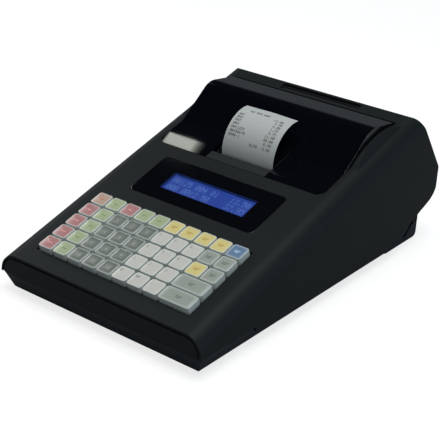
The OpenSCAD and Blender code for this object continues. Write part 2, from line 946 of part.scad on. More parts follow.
module customer_display() {
    recess = 0.8;
    color([0.12, 0.12, 0.13]) case_frame() difference() {
        block(turret_x - turret_w / 2, turret_x + turret_w / 2,
            turret_y - turret_t / 2, turret_y + turret_t / 2, turret_foot, turret_top);
        // viewing window, facing the customer at the rear
        block(turret_x - 34, turret_x + 34, turret_y + turret_t / 2 - recess, turret_y + turret_t,
            turret_top - 27, turret_top - 9);
    }
}

module display_window() {
    color([0.03, 0.03, 0.04]) deck_frame() translate([0, window_s, -window_t])
        linear_extrude(height = window_t) rounded(window_w, window_l, window_r);
}

// ---------- keys and keyboard ----------

function key_x(k) = (k[1] - (KEY_COLUMNS + 1) / 2 + (is_wide(k) ? 0.5 : 0)) * key_pitch;
function key_s(k) = key_mid_s + ((KEY_ROWS + 1) / 2 - k[0]) * key_pitch;

module wedge(width) {
    base = width / 2;
    top = base - key_taper;
    polygon([[-base, key_bottom], [base, key_bottom], [top, key_up], [-top, key_up]]);
}

module key(k) {
    width = (is_wide(k) ? 2 * key_pitch : key_pitch) - key_gap;
    length = key_pitch - key_gap;
    deck_frame() translate([key_x(k), key_s(k), 0]) {
        color(KEY_COLOURS[k[0] - 1][k[1] - 1]) intersection() {
            along(-length, length) wedge(width);
            across(-width, width) wedge(length);
        }
        color("gainsboro") translate([-stem_w / 2, -stem_w / 2, stem_bottom])
            cube([stem_w, stem_w, key_bottom - 0.05 - stem_bottom]);
    }
}

module keyboard_base() {
    half_w = field_w / 2 + rim;
    half_l = field_l / 2 + rim;
    pocket_w = field_w / 2 + well_margin;
    pocket_l = field_l / 2 + well_margin;
    hole = stem_w / 2 + gap;
    deck_frame() translate([0, key_mid_s, 0]) {
        // guide frame, which the plungers slide in
        color("darkslategray") difference() {
            block(-half_w, half_w, -half_l, half_l, mat_top - mat_t, -wall);
            block(-pocket_w, pocket_w, -pocket_l, pocket_l, guide_top, 0);
            block(-pocket_w, pocket_w, -pocket_l, pocket_l, mat_top - mat_t - 1, guide_top - guide_t);
            for (k = KEYS) {
                translate([key_x(k) - hole, key_s(k) - key_mid_s - hole, guide_top - guide_t - 1])
                    cube([2 * hole, 2 * hole, guide_t + 2]);
            }
        }
        // rubber mat with a collar round every plunger
        color("silver") translate([0, 0, mat_top - mat_t]) {
            block(0.1 - pocket_w, pocket_w - 0.1, 0.1 - pocket_l, pocket_l - 0.1, 0.05, mat_t);
            for (k = KEYS) {
                translate([key_x(k), key_s(k) - key_mid_s, mat_t / 2]) difference() {
                    cylinder(r = collar_r + collar_t, h = key_travel + mat_t / 2);
                    translate([0, 0, mat_t / 2]) cylinder(r = collar_r, h = key_travel + mat_t);
                }
            }
        }
        // keyboard board
        color("seagreen") block(-half_w, half_w, -half_l, half_l,
            mat_top - mat_t - board_t, mat_top - mat_t);
    }
}

// ---------- circuit boards ----------

// Flat cable along a side view of [y, z] points
module ribbon(points, x0, x1, t) {
    last = len(points) - 1;
    across(x0, x1) polygon(concat([for (p = points) p - [0, t]], [for (n = [last:-1:0]) points[n]]));
}

module socket(k) {
    x_mid = k[0] + k[1] / 2;
    difference() {
        block(k[0], k[0] + k[1], rear_wall_y - k[5], rear_wall_y, board_top, board_top + k[2]);
        block(x_mid - k[3] / 2, x_mid + k[3] / 2, rear_wall_y - k[5] + 3, rear_wall_y + 1,
            board_top + 3, board_top + 3 + k[4]);
    }
}

module power_jack() {
    axis = [jack_x + jack_w / 2, board_top + jack_h / 2];
    difference() {
        block(jack_x, jack_x + jack_w, rear_wall_y - 14, rear_wall_y, board_top, board_top + jack_h);
        along(rear_wall_y - 10, rear_wall_y + 1) translate(axis) circle(jack_r);
    }
    along(rear_wall_y - 10.5, rear_wall_y - 1) translate(axis) circle(1);
}

module display_module() {
    top = lcd_top;
    translate([glass_x, glass_s, 0]) {
        color("seagreen") block(-lcd_w / 2, lcd_w / 2, -lcd_l / 2, lcd_l / 2,
            top - bezel_h - board_t, top - bezel_h - 0.05);
        color([0.1, 0.1, 0.1]) difference() {
            block(-bezel_w / 2, bezel_w / 2, -bezel_l / 2, bezel_l / 2, top - bezel_h, top);
            block(-glass_w / 2 - 0.1, glass_w / 2 + 0.1, -glass_l / 2 - 0.1, glass_l / 2 + 0.1,
                top - 2, top + 1);
        }
        color("royalblue") block(-glass_w / 2, glass_w / 2, -glass_l / 2, glass_l / 2, top - 1.95, top - 0.6);
    }
}

module circuit_boards() {
    keyboard_end = deck_point(key_mid_s + field_l / 2, mat_top - mat_t - board_t - 0.05);
    case_frame() {
        color("seagreen") block(-board_x, board_x, board_y0, rear_wall_y - wall - 0.5, board_z, board_top);
        color("black") {
            for (k = SOCKETS) {
                socket(k);
            }
            power_jack();
            block(-12, 8, board_y0 + 28, board_y0 + 48, board_top, board_top + 2.2);
            block(-44, -30, board_y0 + 38, board_y0 + 60, board_top, board_top + 2.5);
            translate([-62, board_y0 + 76, board_top]) cylinder(r = 6.5, h = 7);
            // header of the keyboard cable
            block(-22, 22, board_y0 + 2, board_y0 + 8, board_top, board_top + 5);
        }
        color("lightgray") ribbon([
            keyboard_end,
            keyboard_end + [5, -5],
            keyboard_end + [9, -28],
            [keyboard_end[0] + 22, board_top + 4.6],
            [board_y0 + 1.9, board_top + 4.6]
        ], -18, 18, 0.8);
        color("whitesmoke") tilt() display_module();
    }
}

// ---------- feet and screws ----------

module feet_and_screws() {
    case_frame() {
        for (x = [-1, 1], y = FOOT_Y) {
            color([0.08, 0.08, 0.08]) translate([x * foot_x, y, -lower_h - foot_h])
                cylinder(d = foot_d, h = foot_h + foot_sunk);
        }
        for (x = [-1, 1], y = SCREW_Y) {
            color("silver") translate([x * screw_x, y, 0]) {
                translate([0, 0, -screw_in - head_t]) cylinder(r = head_r, h = head_t);
                translate([0, 0, -screw_in - 1]) cylinder(r = screw_r, h = 2 * screw_in);
            }
        }
    }
}

upper_case();
lower_case();
printer_cover();
platen_roller();
paper_roll();
receipt();
customer_display();
display_window();
keyboard_base();
circuit_boards();
printer_mechanism();
feet_and_screws();
for (k = KEYS) {
    key(k);
}
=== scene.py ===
# %% [markdown]
# # Dressing a ticket register
# A ticket register is a wedge of dark moulded plastic with a block of keys, a small display and a
# receipt printer. Its solids come from a constructed model. This lesson gives them their looks:
# finishes made of shader nodes, and new pieces where the real object has finer forms than its solids.
# First the solids are loaded. They stay where they are, and everything new is placed from them.

# %% Load the solids
import math

import bmesh
import bpy
import numpy as np
from mathutils import Matrix


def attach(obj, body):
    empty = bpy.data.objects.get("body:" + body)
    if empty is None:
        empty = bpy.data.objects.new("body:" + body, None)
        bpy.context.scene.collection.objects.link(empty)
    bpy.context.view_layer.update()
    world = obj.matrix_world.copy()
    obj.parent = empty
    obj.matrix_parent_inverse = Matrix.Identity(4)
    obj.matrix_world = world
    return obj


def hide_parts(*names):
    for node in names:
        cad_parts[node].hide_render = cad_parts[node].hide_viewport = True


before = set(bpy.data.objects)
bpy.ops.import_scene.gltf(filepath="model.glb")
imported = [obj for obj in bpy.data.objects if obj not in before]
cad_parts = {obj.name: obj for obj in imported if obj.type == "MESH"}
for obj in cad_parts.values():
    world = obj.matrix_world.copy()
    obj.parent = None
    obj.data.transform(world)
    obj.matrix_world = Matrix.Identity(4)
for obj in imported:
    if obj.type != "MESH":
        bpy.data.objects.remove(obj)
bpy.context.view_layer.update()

# %% [markdown]
# ## One frame for the sloping deck
# Nearly everything sits on the deck, which slopes up to the rear. It is easier to think in the
# deck's own measures: x across, s up the slope from the front crease, and h square to it. One
# function turns those millimetres into the scene's metres, for whole arrays of points at once, and
# another turns them back. A tilted empty as a parent would do it too, but then the pieces would no
# longer sit at the origin.

# %% Deck measures to scene measures
MM = 0.001
SLOPE = math.radians(16.9)
CREASE = np.array([0.0, -182.5, 38.0])


def on_deck(points):
    """World point = crease + x along X + s up the slope + h square to the slope, in metres."""
    x, s, h = np.moveaxis(np.asarray(points, float), -1, 0)
    y = s * math.cos(SLOPE) - h * math.sin(SLOPE)
    z = s * math.sin(SLOPE) + h * math.cos(SLOPE)
    return (np.stack([x, y, z], -1) + CREASE) * MM


def to_deck(points):
    """The way back: metres in the scene to x, s and h in millimetres."""
    x, y, z = np.moveaxis(np.asarray(points, float) / MM - CREASE, -1, 0)
    s = y * math.cos(SLOPE) + z * math.sin(SLOPE)
    h = z * math.cos(SLOPE) - y * math.sin(SLOPE)
    return np.stack([x, s, h], -1)


print("front crease", on_deck([0, 0, 0]), "rear of the deck", on_deck([0, 320, 0]))

# %% [markdown]
# ## Camera
# The register is seen from its front right corner, from a little above, through a long lens that
# keeps its lines nearly parallel. A camera looks along its own minus Z, so its matrix has the
# picture's right and up as the first two columns, and the way back as the third. Writing the
# matrix out is surer than a Track To constraint, which would pick its own roll. The Standard view
# shows every colour as it is written.

# %% Camera
LENS = 98.59
LOOK_FROM = (0.59078, -0.80954, 0.50982)
LOOK_RIGHT = (0.7866548, 0.6155953, 0.0470801)
LOOK_UP = (-0.2952655, 0.3081485, 0.9043576)
LOOK_BACK = (0.5422107, -0.7253185, 0.4241706)
camera_data = bpy.data.cameras.new("camera")
camera_data.sensor_width = 36
camera_data.lens = LENS
camera_data.clip_start = 0.05
camera = bpy.data.objects.new("camera", camera_data)
bpy.context.collection.objects.link(camera)
turn = Matrix((LOOK_RIGHT, LOOK_UP, LOOK_BACK)).transposed().to_4x4()
camera.matrix_world = Matrix.Translation(LOOK_FROM) @ turn
bpy.context.scene.camera = camera
bpy.context.scene.view_settings.view_transform = "Standard"
print("camera", tuple(camera.location))

# %% [markdown]
# ## Colours
# Shader colours are linear, while people name colours in display values from 0 to 255. The
# display curve is close to a power of 2.4 with a straight foot, and the first function undoes it.
# The second makes a darker or lighter shade of a tone, which most finishes need.


# %% Colour helper
def colour(r, g, b):
    """Display value v/255 to linear: v/12.92 in the dark foot, else ((v + 0.055)/1.055) to the 2.4."""
    v = np.array([r, g, b], float) / 255
    linear = np.where(v <= 0.04045, v / 12.92, ((v + 0.055) / 1.055) ** 2.4)
    return (*linear.tolist(), 1.0)


def toned(tone, factor, lift=0.0):
    """A shade of a tone: each part times factor plus lift, and never above 1."""
    return (*(min(part * factor + lift, 1.0) for part in tone[:3]), 1.0)


print("mid grey", colour(128, 128, 128))

# %% [markdown]
# ## Shared effects
# Moulded plastic is never one flat colour. Its surface has a fine grain, its tone drifts a little,
# and its edges are rounded and rubbed. Each effect is a node group with named inputs and outputs,
# so every finish can use it at its own strength. These first helpers keep node code short.


# %% Node helpers
def add_node(tree, kind, links=(), **values):
    """Adds a node, sets its properties or inputs by name, and links the given sockets to it."""
    node = tree.nodes.new(kind)
    for key, value in values.items():
        if key in node.inputs:
            node.inputs[key].default_value = value
        else:
            setattr(node, key, value)
    for key, source in dict(links).items():
        tree.links.new(source, node.inputs[key])
    return node


def object_place(tree):
    """Object coordinates, which are metres from the scene's origin on every piece."""
    return tree.nodes.new("ShaderNodeTexCoord").outputs["Object"]


def maths(tree, operation, a, b, clamp=False):
    """One Math node. a and b are numbers or sockets."""
    node = add_node(tree, "ShaderNodeMath", operation=operation, use_clamp=clamp)
    for slot, value in enumerate((a, b)):
        if isinstance(value, (int, float)):
            node.inputs[slot].default_value = value
        else:
            tree.links.new(value, node.inputs[slot])
    return node.outputs[0]


print("node helper", add_node.__name__, "and", maths.__name__)

# %% [markdown]
# Three more are made of these: one stretches a noise into a chosen range, one cuts a soft step out
# of a height or a distance, and one mixes two colours. A Color Ramp could do all three by hand, but
# its stops can't be linked or named.


# %% Ranges, steps and mixes
def spread(tree, source, span, start):
    """Source times span plus start: turns a noise of 0 to 1 into a chosen range."""
    result = maths(tree, "MULTIPLY_ADD", source, span)
    result.node.inputs[2].default_value = start
    return result


def ramp(tree, source, low, high):
    """0 below low, 1 above high, smooth in between."""
    node = add_node(tree, "ShaderNodeMapRange", {"Value": source}, interpolation_type="SMOOTHSTEP",
                    **{"From Min": low, "From Max": high})
    return node.outputs[0]


def mix_colours(tree, amount, a, b):
    """Mixes colour a to colour b by amount. Each is a value or a socket."""
    node = add_node(tree, "ShaderNodeMix", data_type="RGBA")
    for slot, value in ((0, amount), (6, a), (7, b)):
        if isinstance(value, bpy.types.NodeSocket):
            tree.links.new(value, node.inputs[slot])
        else:
            node.inputs[slot].default_value = value
    return node.outputs[2]


print("mixing helpers ready")

# %% [markdown]
# Groups and materials need a few lines each time: one makes a group with named sockets, one places
# it, and three more start a material, find its shader, and lay a tone over the colour it has.


# %% Group and material helpers
def new_group(name, inputs, outputs):
    """A node group with float, colour or vector sockets, given as {name: (type, default)}."""
    tree = bpy.data.node_groups.new(name, "ShaderNodeTree")
    for side, sockets in (("INPUT", inputs), ("OUTPUT", outputs)):
        for key, (kind, default) in sockets.items():
            socket = tree.interface.new_socket(key, in_out=side, socket_type="NodeSocket" + kind)
            if default is not None:
                socket.default_value = default
    return tree, tree.nodes.new("NodeGroupInput"), tree.nodes.new("NodeGroupOutput")


def put_group(tree, name, **values):
    """Places a shared group in a material and sets its inputs."""
    node = tree.nodes.new("ShaderNodeGroup")
    node.node_tree = bpy.data.node_groups[name]
    for key, value in values.items():
        node.inputs[key.replace("_", " ")].default_value = value
    return node


def tree_and_shader(material):
    """A material's node tree and its Principled shader."""
    return material.node_tree, material.node_tree.nodes["Principled BSDF"]


def new_material(name):
    """A fresh material, its node tree and its Principled shader."""
    material = bpy.data.materials.new(name)
    material.use_nodes = True
    return material, *tree_and_shader(material)


def lay_over(material, amount, tone):
    """Mixes the base colour that a material has so far to a tone by amount."""
    tree, shader = tree_and_shader(material)
    present = shader.inputs["Base Color"].links[0].from_socket
    tree.links.new(mix_colours(tree, amount, present, tone), shader.inputs["Base Color"])


print("group and material helpers ready")

# %% [markdown]
# The grain of a spark-eroded mould is a carpet of tiny rounded pits. Noise at two scales, measured
# on Object coordinates in metres, does both jobs: the fine one is the height for a Bump node, and
# the very broad one is the slow drift of tone that a large moulding shows. On real mouldings the
# pits are a few tenths of a millimetre wide, so a scale of 2500 per metre suits them.

# %% Grain and tone of mouldings
PITS = 2500.0
grain, g_in, g_out = new_group(
    "moulded_grain",
    {"Pits per metre": ("Float", PITS), "Drift per metre": ("Float", 14.0)},
    {"Height": ("Float", None), "Drift": ("Float", None)},
)
where = object_place(grain)
fine = add_node(grain, "ShaderNodeTexNoise", {"Vector": where, "Scale": g_in.outputs[0]},
                Detail=2.0, Roughness=0.6)
broad = add_node(grain, "ShaderNodeTexNoise", {"Vector": where, "Scale": g_in.outputs[1]},
                 Detail=3.0, Roughness=0.55)
grain.links.new(fine.outputs[0], g_out.inputs["Height"])
grain.links.new(broad.outputs[0], g_out.inputs["Drift"])
print("grain group", len(grain.nodes), "nodes")

# %% [markdown]
# No moulded or pressed edge is truly sharp. A Bevel modifier would round the mesh itself, but the
# solids' thin triangles bevel badly. The Bevel node samples the surface round a point instead and
# gives back a rounded normal, so light catches on edges as it does on a real part. Where that
# normal differs from the true one there is an edge, and the difference serves as a wear mask. On
# the key caps the same mask, at full strength and with a pale tone, is a painted highlight.

# %% Rounded and rubbed edges
EDGE_GAIN = 3.0
edges, e_in, e_out = new_group(
    "rubbed_and_highlit_edges",
    {"Radius": ("Float", 0.0005), "Wear": ("Float", 0.5)},
    {"Normal": ("Vector", None), "Mask": ("Float", None)},
)
bevel = add_node(edges, "ShaderNodeBevel", {"Radius": e_in.outputs[0]}, samples=4)
true_normal = edges.nodes.new("ShaderNodeNewGeometry").outputs["Normal"]
alike = add_node(edges, "ShaderNodeVectorMath", operation="DOT_PRODUCT")
edges.links.new(bevel.outputs[0], alike.inputs[0])
edges.links.new(true_normal, alike.inputs[1])
bend = maths(edges, "SUBTRACT", 1.0, alike.outputs["Value"])
patchy = add_node(edges, "ShaderNodeTexNoise", {"Vector": object_place(edges)}, Scale=90.0, Detail=4.0)
rubbed = maths(edges, "MULTIPLY", maths(edges, "MULTIPLY", bend, EDGE_GAIN, clamp=True), patchy.outputs[0])
edges.links.new(bevel.outputs[0], e_out.inputs["Normal"])
edges.links.new(maths(edges, "MULTIPLY", rubbed, e_in.outputs[1], clamp=True), e_out.inputs["Mask"])
print("edge group", len(edges.nodes), "nodes")

# %% [markdown]
# ## Finishes
# One function builds every opaque moulding, from the matt case to the glossy cover. It ties the
# two groups to a Principled shader: the drift moves the tone, the edge mask lightens the colour,
# and the grain's height goes through a Bump node that starts from the rounded normal.

# %% Moulding finish
BUMP_DEPTH = 0.00005
ROUGH_SPAN = 0.08


def moulding(name, tone, rough, bump=0.2, pits=PITS, drift=0.12, wear_and_highlight=0.25, edge=0.0005,
             gloss_coat=0.0, metal=0.0, worn_and_highlight_tone=None, shine=0.5):
    """Principled plastic or metal with grain, tone drift and lighter edges: rubbed wear, and on the key
    caps a painted highlight. edge is a radius in metres.
    """
    material, tree, shader = new_material(name)
    texture = put_group(tree, "moulded_grain", Pits_per_metre=pits)
    rub_and_highlight = put_group(tree, "rubbed_and_highlit_edges", Radius=edge, Wear=wear_and_highlight)
    base = mix_colours(tree, texture.outputs["Drift"], toned(tone, 1 - drift), toned(tone, 1 + drift))
    # The edges' lighter tone: rubbed wear, and on the key caps a painted highlight.
    worn_and_highlight = worn_and_highlight_tone or toned(tone, 1.5, 0.004)
    tree.links.new(mix_colours(tree, rub_and_highlight.outputs["Mask"], base, worn_and_highlight), shader.inputs["Base Color"])
    tree.links.new(spread(tree, texture.outputs["Drift"], ROUGH_SPAN, rough - ROUGH_SPAN / 2),
                   shader.inputs["Roughness"])
    relief = add_node(tree, "ShaderNodeBump",
                      {"Height": texture.outputs["Height"], "Normal": rub_and_highlight.outputs["Normal"]},
                      Strength=bump, Distance=BUMP_DEPTH)
    tree.links.new(relief.outputs[0], shader.inputs["Normal"])
    shader.inputs["Metallic"].default_value = metal
    shader.inputs["Specular IOR Level"].default_value = shine
    shader.inputs["Coat Weight"].default_value = gloss_coat
    shader.inputs["Coat Roughness"].default_value = 0.04
    return material


print("moulding finish ready")

# %% [markdown]
# The upper case is matt and nearly black. The tray under it is painted a shade lighter, as painted
# light for what the white floor throws onto its sloping walls. The front panel is painted darker, as
# painted shade for a face turned away from the light above, and is a little smoother. The cover and
# the window's border are polished and hold almost no grain. Rubber and card are the roughest. A
# tone, a roughness and a grain are enough to tell them apart.

# %% Plastics, rubber and card
case_black = moulding("case_black", colour(27, 32, 33), 0.48, bump=0.35, shine=0.11)
# The tray's lighter tone is painted light: it stands in for the light the white floor throws onto its
# walls.
tray_painted_light = moulding("tray_painted_light", colour(43, 49, 53), 0.5, bump=0.35, shine=0.12)
# The front panel's darker tone is painted shade: the same plastic as the case, darkened for a face turned
# from the light.
front_painted_shade = moulding("front_painted_shade", colour(19, 23, 26), 0.4, bump=0.25, shine=0.15)
gloss_black = moulding("gloss_black", colour(4, 6, 11), 0.03, bump=0.01, pits=400.0, wear_and_highlight=0.1,
                       edge=0.0004)
window_black = moulding("window_black", colour(5, 7, 11), 0.05, bump=0.0, wear_and_highlight=0.05, edge=0.0002)
rubber_black = moulding("rubber_black", colour(26, 26, 27), 0.85, bump=0.6, pits=3500.0, wear_and_highlight=0.4)
frame_grey = moulding("frame_grey", colour(88, 90, 93), 0.5)
tear_grey = moulding("tear_grey", colour(38, 42, 43), 0.4, wear_and_highlight=0.4, shine=0.15)
turret_black = moulding("turret_black", colour(33, 35, 37), 0.45)
rubber_mat = moulding("rubber_mat", colour(150, 152, 150), 0.75, bump=0.3)
gear_white = moulding("gear_white", colour(214, 212, 202), 0.45)
core_card = moulding("core_card", colour(150, 122, 88), 0.9, bump=0.5, pits=900.0)
port_black = moulding("port_black", colour(24, 24, 26), 0.5)
print("mouldings", len([m for m in bpy.data.materials if m.use_nodes]))

# %% [markdown]
# The tray is set in under the upper case, and the joint between them lies in shade. The top two
# millimetres of the tray's wall lie in that joint, and there the finish is painted nearly black as
# painted shade. The height is read from the Object coordinates, and a smooth ramp keeps the
# shade's lower edge soft.

# %% Painted shade in the joint round the tray
PAINTED_JOINT_SHADE = (16.8 * MM, 17.4 * MM)
tree = tray_painted_light.node_tree
height = add_node(tree, "ShaderNodeSeparateXYZ", {"Vector": object_place(tree)}).outputs["Z"]
# Painted shade: the top of the tray's wall is mixed to near black where the joint lies in shade.
lay_over(tray_painted_light, ramp(tree, height, *PAINTED_JOINT_SHADE), colour(8, 9, 10))
print("dark joint from", PAINTED_JOINT_SHADE, "m up")

# %% [markdown]
# Metal parts are brushed or plated. Anisotropic shading could give the look of brushing, but it
# needs tangents, which these meshes lack. Noise stretched along one direction by a Mapping node
# breaks the reflection into fine streaks on Object coordinates alone.


# %% Metal finish
def plated(name, tone, rough, along=(40.0, 1800.0, 1800.0)):
    """Zinc or nickel plate: noise stretched along one axis moves the roughness."""
    material = moulding(name, tone, rough, bump=0.0, drift=0.05, wear_and_highlight=0.2, metal=1.0, edge=0.0003)
    tree, shader = tree_and_shader(material)
    place = add_node(tree, "ShaderNodeMapping", {"Vector": object_place(tree)}, Scale=along)
    streaks = add_node(tree, "ShaderNodeTexNoise", {"Vector": place.outputs[0]}, Scale=1.0, Detail=2.0)
    tree.links.new(spread(tree, streaks.outputs[0], 0.25, rough - 0.12), shader.inputs["Roughness"])
    return material


steel = plated("steel", colour(186, 188, 190), 0.35)
zinc = plated("zinc", colour(168, 170, 174), 0.4, along=(1500.0, 60.0, 1500.0))
aluminium = plated("aluminium", colour(150, 154, 160), 0.45, along=(60.0, 1500.0, 1500.0))
print("metals", steel.name, zinc.name, aluminium.name)

# %% [markdown]
# Paper is nearly white, dull, and a little uneven where its fibres lie. Thermal paper is greyer
# and smoother than writing paper. Two noises are enough: a fine one for the fibres' height, and a
# broad one for clouds in the tone.


# %% Paper finishes
def paper_finish(name, tone):
    """Dull paper: fibre noise in the height and a slight drift of tone."""
    material, tree, shader = new_material(name)
    where = object_place(tree)
    fibres = add_node(tree, "ShaderNodeTexNoise", {"Vector": where}, Scale=900.0, Detail=4.0)
    clouds = add_node(tree, "ShaderNodeTexNoise", {"Vector": where}, Scale=35.0, Detail=2.0)
    tree.links.new(mix_colours(tree, clouds.outputs[0], toned(tone, 0.94), tone),
                   shader.inputs["Base Color"])
    relief = add_node(tree, "ShaderNodeBump", {"Height": fibres.outputs[0]}, Strength=0.15,
                      Distance=BUMP_DEPTH)
    tree.links.new(relief.outputs[0], shader.inputs["Normal"])
    shader.inputs["Roughness"].default_value = 0.7
    return material


receipt_paper = paper_finish("receipt_paper", colour(172, 177, 174))
roll_paper = paper_finish("roll_paper", colour(206, 207, 202))
print("paper", receipt_paper.name, roll_paper.name)

# %% [markdown]
# The wound roll shows its layers on its two flat ends, as fine rings. A wave texture of rings round
# the X axis gives them, once a Mapping node has moved its middle to the roll's axis.

# %% Layers of the wound roll
ROLL_CENTRE = on_deck([1.9, 266.1, -18.1])
tree = roll_paper.node_tree
centred = add_node(tree, "ShaderNodeMapping", {"Vector": object_place(tree)},
                   Location=tuple(-ROLL_CENTRE))
layers = add_node(tree, "ShaderNodeTexWave", {"Vector": centred.outputs[0]}, wave_type="RINGS",
                  rings_direction="X", Scale=180.0, Distortion=1.5, Detail=2.0)
lay_over(roll_paper, maths(tree, "MULTIPLY", layers.outputs["Fac"], 0.14), colour(120, 118, 112))
print("layers round", tuple(np.round(ROLL_CENTRE, 4)))

# %% [markdown]
# ## Meshes from whole arrays
# New pieces are grids of points worked out with numpy. Blender's own cubes and circles would need
# the Edit Mode tools to become these forms, while a formula gives the whole form at once. A closed
# form is made by stacking closed outlines: each ring of points is joined to the next by a band of
# four-sided faces, and the first and last rings are closed by one flat face each. With the outlines
# drawn anticlockwise and the stack built upwards, every face looks outwards.


# %% Mesh helpers
def new_piece(name, points, faces, finishes, body, node, slot=None, indices=None, smooth=35.0):
    """A mesh object at the origin from points in metres, smooth below an angle in degrees.
    It rides on a body and stands for a node. slot is not used."""
    mesh = bpy.data.meshes.new(name)
    mesh.from_pydata(np.asarray(points).reshape(-1, 3).tolist(), [], faces)
    for finish in finishes if isinstance(finishes, (list, tuple)) else [finishes]:
        mesh.materials.append(finish)
    if indices is not None:
        mesh.polygons.foreach_set("material_index", np.asarray(indices, np.int32))
    mesh.polygons.foreach_set("use_smooth", np.ones(len(mesh.polygons), bool))
    mesh.set_sharp_from_angle(angle=math.radians(smooth))
    mesh.validate()
    piece = bpy.data.objects.new(name, mesh)
    bpy.context.collection.objects.link(piece)
    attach(piece, body)
    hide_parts(node)
    return piece


def bands(rings, points):
    """Faces of a stack: ring i, point j joins to j + 1 and to ring i + 1; both ends get one face."""
    i, j = np.meshgrid(np.arange(rings - 1), np.arange(points), indexing="ij")
    k = (j + 1) % points
    quads = np.stack([i * points + j, i * points + k, (i + 1) * points + k, (i + 1) * points + j], -1)
    faces = quads.reshape(-1, 4).tolist()
    faces.append(np.arange(points)[::-1].tolist())
    faces.append((np.arange(points) + (rings - 1) * points).tolist())
    return faces


def joined(first, second):
    """Two (points, faces) pairs as one: the second's faces count on after the first's points."""
    points = np.concatenate([first[0].reshape(-1, 3), second[0]])
    shift = len(points) - len(second[0])
    return points, first[1] + [[corner + shift for corner in face] for face in second[1]]


def face_middles(points, faces):
    """The mean of each face's corners."""
    return np.array([points[face].mean(axis=0) for face in faces])


print("faces of a stack of 3 squares", len(bands(3, 4)))

# %% [markdown]
# Keys, windows and sheets are all stacks of one outline, a rectangle with round corners, drawn a
# little smaller or larger at each height. Dots and bars are plain small boxes, made in one go.


# %% Rounded outlines and small boxes
def rounded_outline(width, length, radius, steps=5):
    """Anticlockwise outline: four quarter circles of the radius about the corners' centres."""
    angles = np.radians(np.arange(4)[:, None] * 90 + np.linspace(0, 90, steps)[None, :])
    signs = np.array([[1, 1], [-1, 1], [-1, -1], [1, -1]], float)
    centres = signs * np.array([width / 2 - radius, length / 2 - radius])
    arcs = centres[:, None, :] + radius * np.stack([np.cos(angles), np.sin(angles)], -1)
    return arcs.reshape(-1, 2)


def stack_outlines(profile, width, length, radius, steps=5):
    """Rings of a rounded rectangle: profile rows are (inset, height); the corner radius shrinks too."""
    rings = []
    for inset, height in profile:
        ring = rounded_outline(width - 2 * inset, length - 2 * inset, max(radius - inset, 0.15), steps)
        rings.append(np.column_stack([ring, np.full(len(ring), height)]))
    return np.array(rings)


def boxes(centres, half):
    """Many small boxes at once: eight corners each, from centre and half sizes, and their six faces."""
    signs = np.indices((2, 2, 2)).reshape(3, 8).T[:, ::-1] * 2.0 - 1.0
    corners = np.asarray(centres, float)[:, None, :] + signs[None] * np.asarray(half, float)
    six = np.array([[0, 2, 3, 1], [4, 5, 7, 6], [0, 1, 5, 4], [2, 6, 7, 3], [0, 4, 6, 2], [1, 3, 7, 5]])
    faces = six[None] + np.arange(len(corners))[:, None, None] * 8
    return corners.reshape(-1, 3), faces.reshape(-1, 4).tolist()


print("outline points", len(rounded_outline(10, 10, 1)))

# %% [markdown]
# ## Solids that keep their shape
# Several nodes hold more than one solid of different stuff, such as the steel shaft inside the
# rubber platen. A copy of such a node is merged, split into its separate solids and given one
# finish per solid, and the copies stand for the node. The solids are told apart by the size of
# their boxes or the place of their middles, never by a face number, which would change with the
# shape.


# %% Split a node into its solids
def split_solids(node):
    """Copies of a node's separate solids, as (points, faces) pairs, the one with the largest box first."""
    work = bmesh.new()
    work.from_mesh(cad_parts[node].data)
    bmesh.ops.remove_doubles(work, verts=work.verts, dist=1e-6)
    work.verts.ensure_lookup_table()
    seen, parts = set(), []
    for start in work.verts:
        if start.index in seen:
            continue
        island, queue = [], [start]
        seen.add(start.index)
        while queue:
            vertex = queue.pop()
            island.append(vertex)
            for edge in vertex.link_edges:
                other = edge.other_vert(vertex)
                if other.index not in seen:
                    seen.add(other.index)
                    queue.append(other)
        order = {v.index: n for n, v in enumerate(island)}
        faces = {f for v in island for f in v.link_faces}
        rows = [[order[v.index] for v in f.verts] for f in sorted(faces, key=lambda f: f.index)]
        parts.append((np.array([v.co[:] for v in island]), rows))
    work.free()
    return sorted(parts, key=lambda p: -np.prod(np.ptp(p[0], axis=0)))


def stand_for(node, body, named):
    """Makes one piece per solid, named and finished in the order of split_solids, for the node."""
    for (points, faces), (name, finish) in zip(split_solids(node), named):
        new_piece(name, points, faces, finish, body, node)


stand_for("platen_roller", "platen",
          [("platen_rubber", rubber_black), ("platen_shaft", steel), ("platen_gear", gear_white)])
stand_for("paper_roll", "roll", [("roll_paper_wound", roll_paper), ("roll_core", core_card)])
print("platen and roll split")

# %% [markdown]
# ## Case, cover and pop-up display
# These solids already have the right forms, but their round surfaces are strips of flat facets, and
# a polished cover would mirror each strip as a band. Merged copies stand for them. Edges under 13
# degrees shade smoothly, and normals weighted by face area keep the large flats flat right up to
# the rounds.

# %% Smooth copies of the mouldings
FRONT_PANEL = {"half width": 107.6 * MM, "rear": -182.4 * MM, "top": 34.6 * MM}


def smooth_copy(node, name, body, finishes, second=None):
    """One merged copy of a node with area-weighted normals and sharp edges above 13 degrees.
    second tells from a face's points whether it takes the second finish."""
    work = bmesh.new()
    work.from_mesh(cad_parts[node].data)
    bmesh.ops.remove_doubles(work, verts=work.verts, dist=1e-6)
    work.verts.index_update()
    points = np.array([v.co[:] for v in work.verts])
    faces = [[v.index for v in face.verts] for face in work.faces]
    work.free()
    indices = [int(second(points[face])) for face in faces] if second else None
    piece = new_piece(name, points, faces, finishes, body, node, indices=indices, smooth=13.0)
    normals = piece.modifiers.new("weighted_normals", "WEIGHTED_NORMAL")
    normals.mode, normals.weight, normals.keep_sharp = "FACE_AREA", 50, True
    return piece


def on_front_panel(corners):
    """True for the flat front face inside its groove: foremost, and clear of the groove all round."""
    x, y, z = np.abs(corners[:, 0]).max(), corners[:, 1].max(), corners[:, 2].max()
    return x < FRONT_PANEL["half width"] and y < FRONT_PANEL["rear"] and z < FRONT_PANEL["top"]


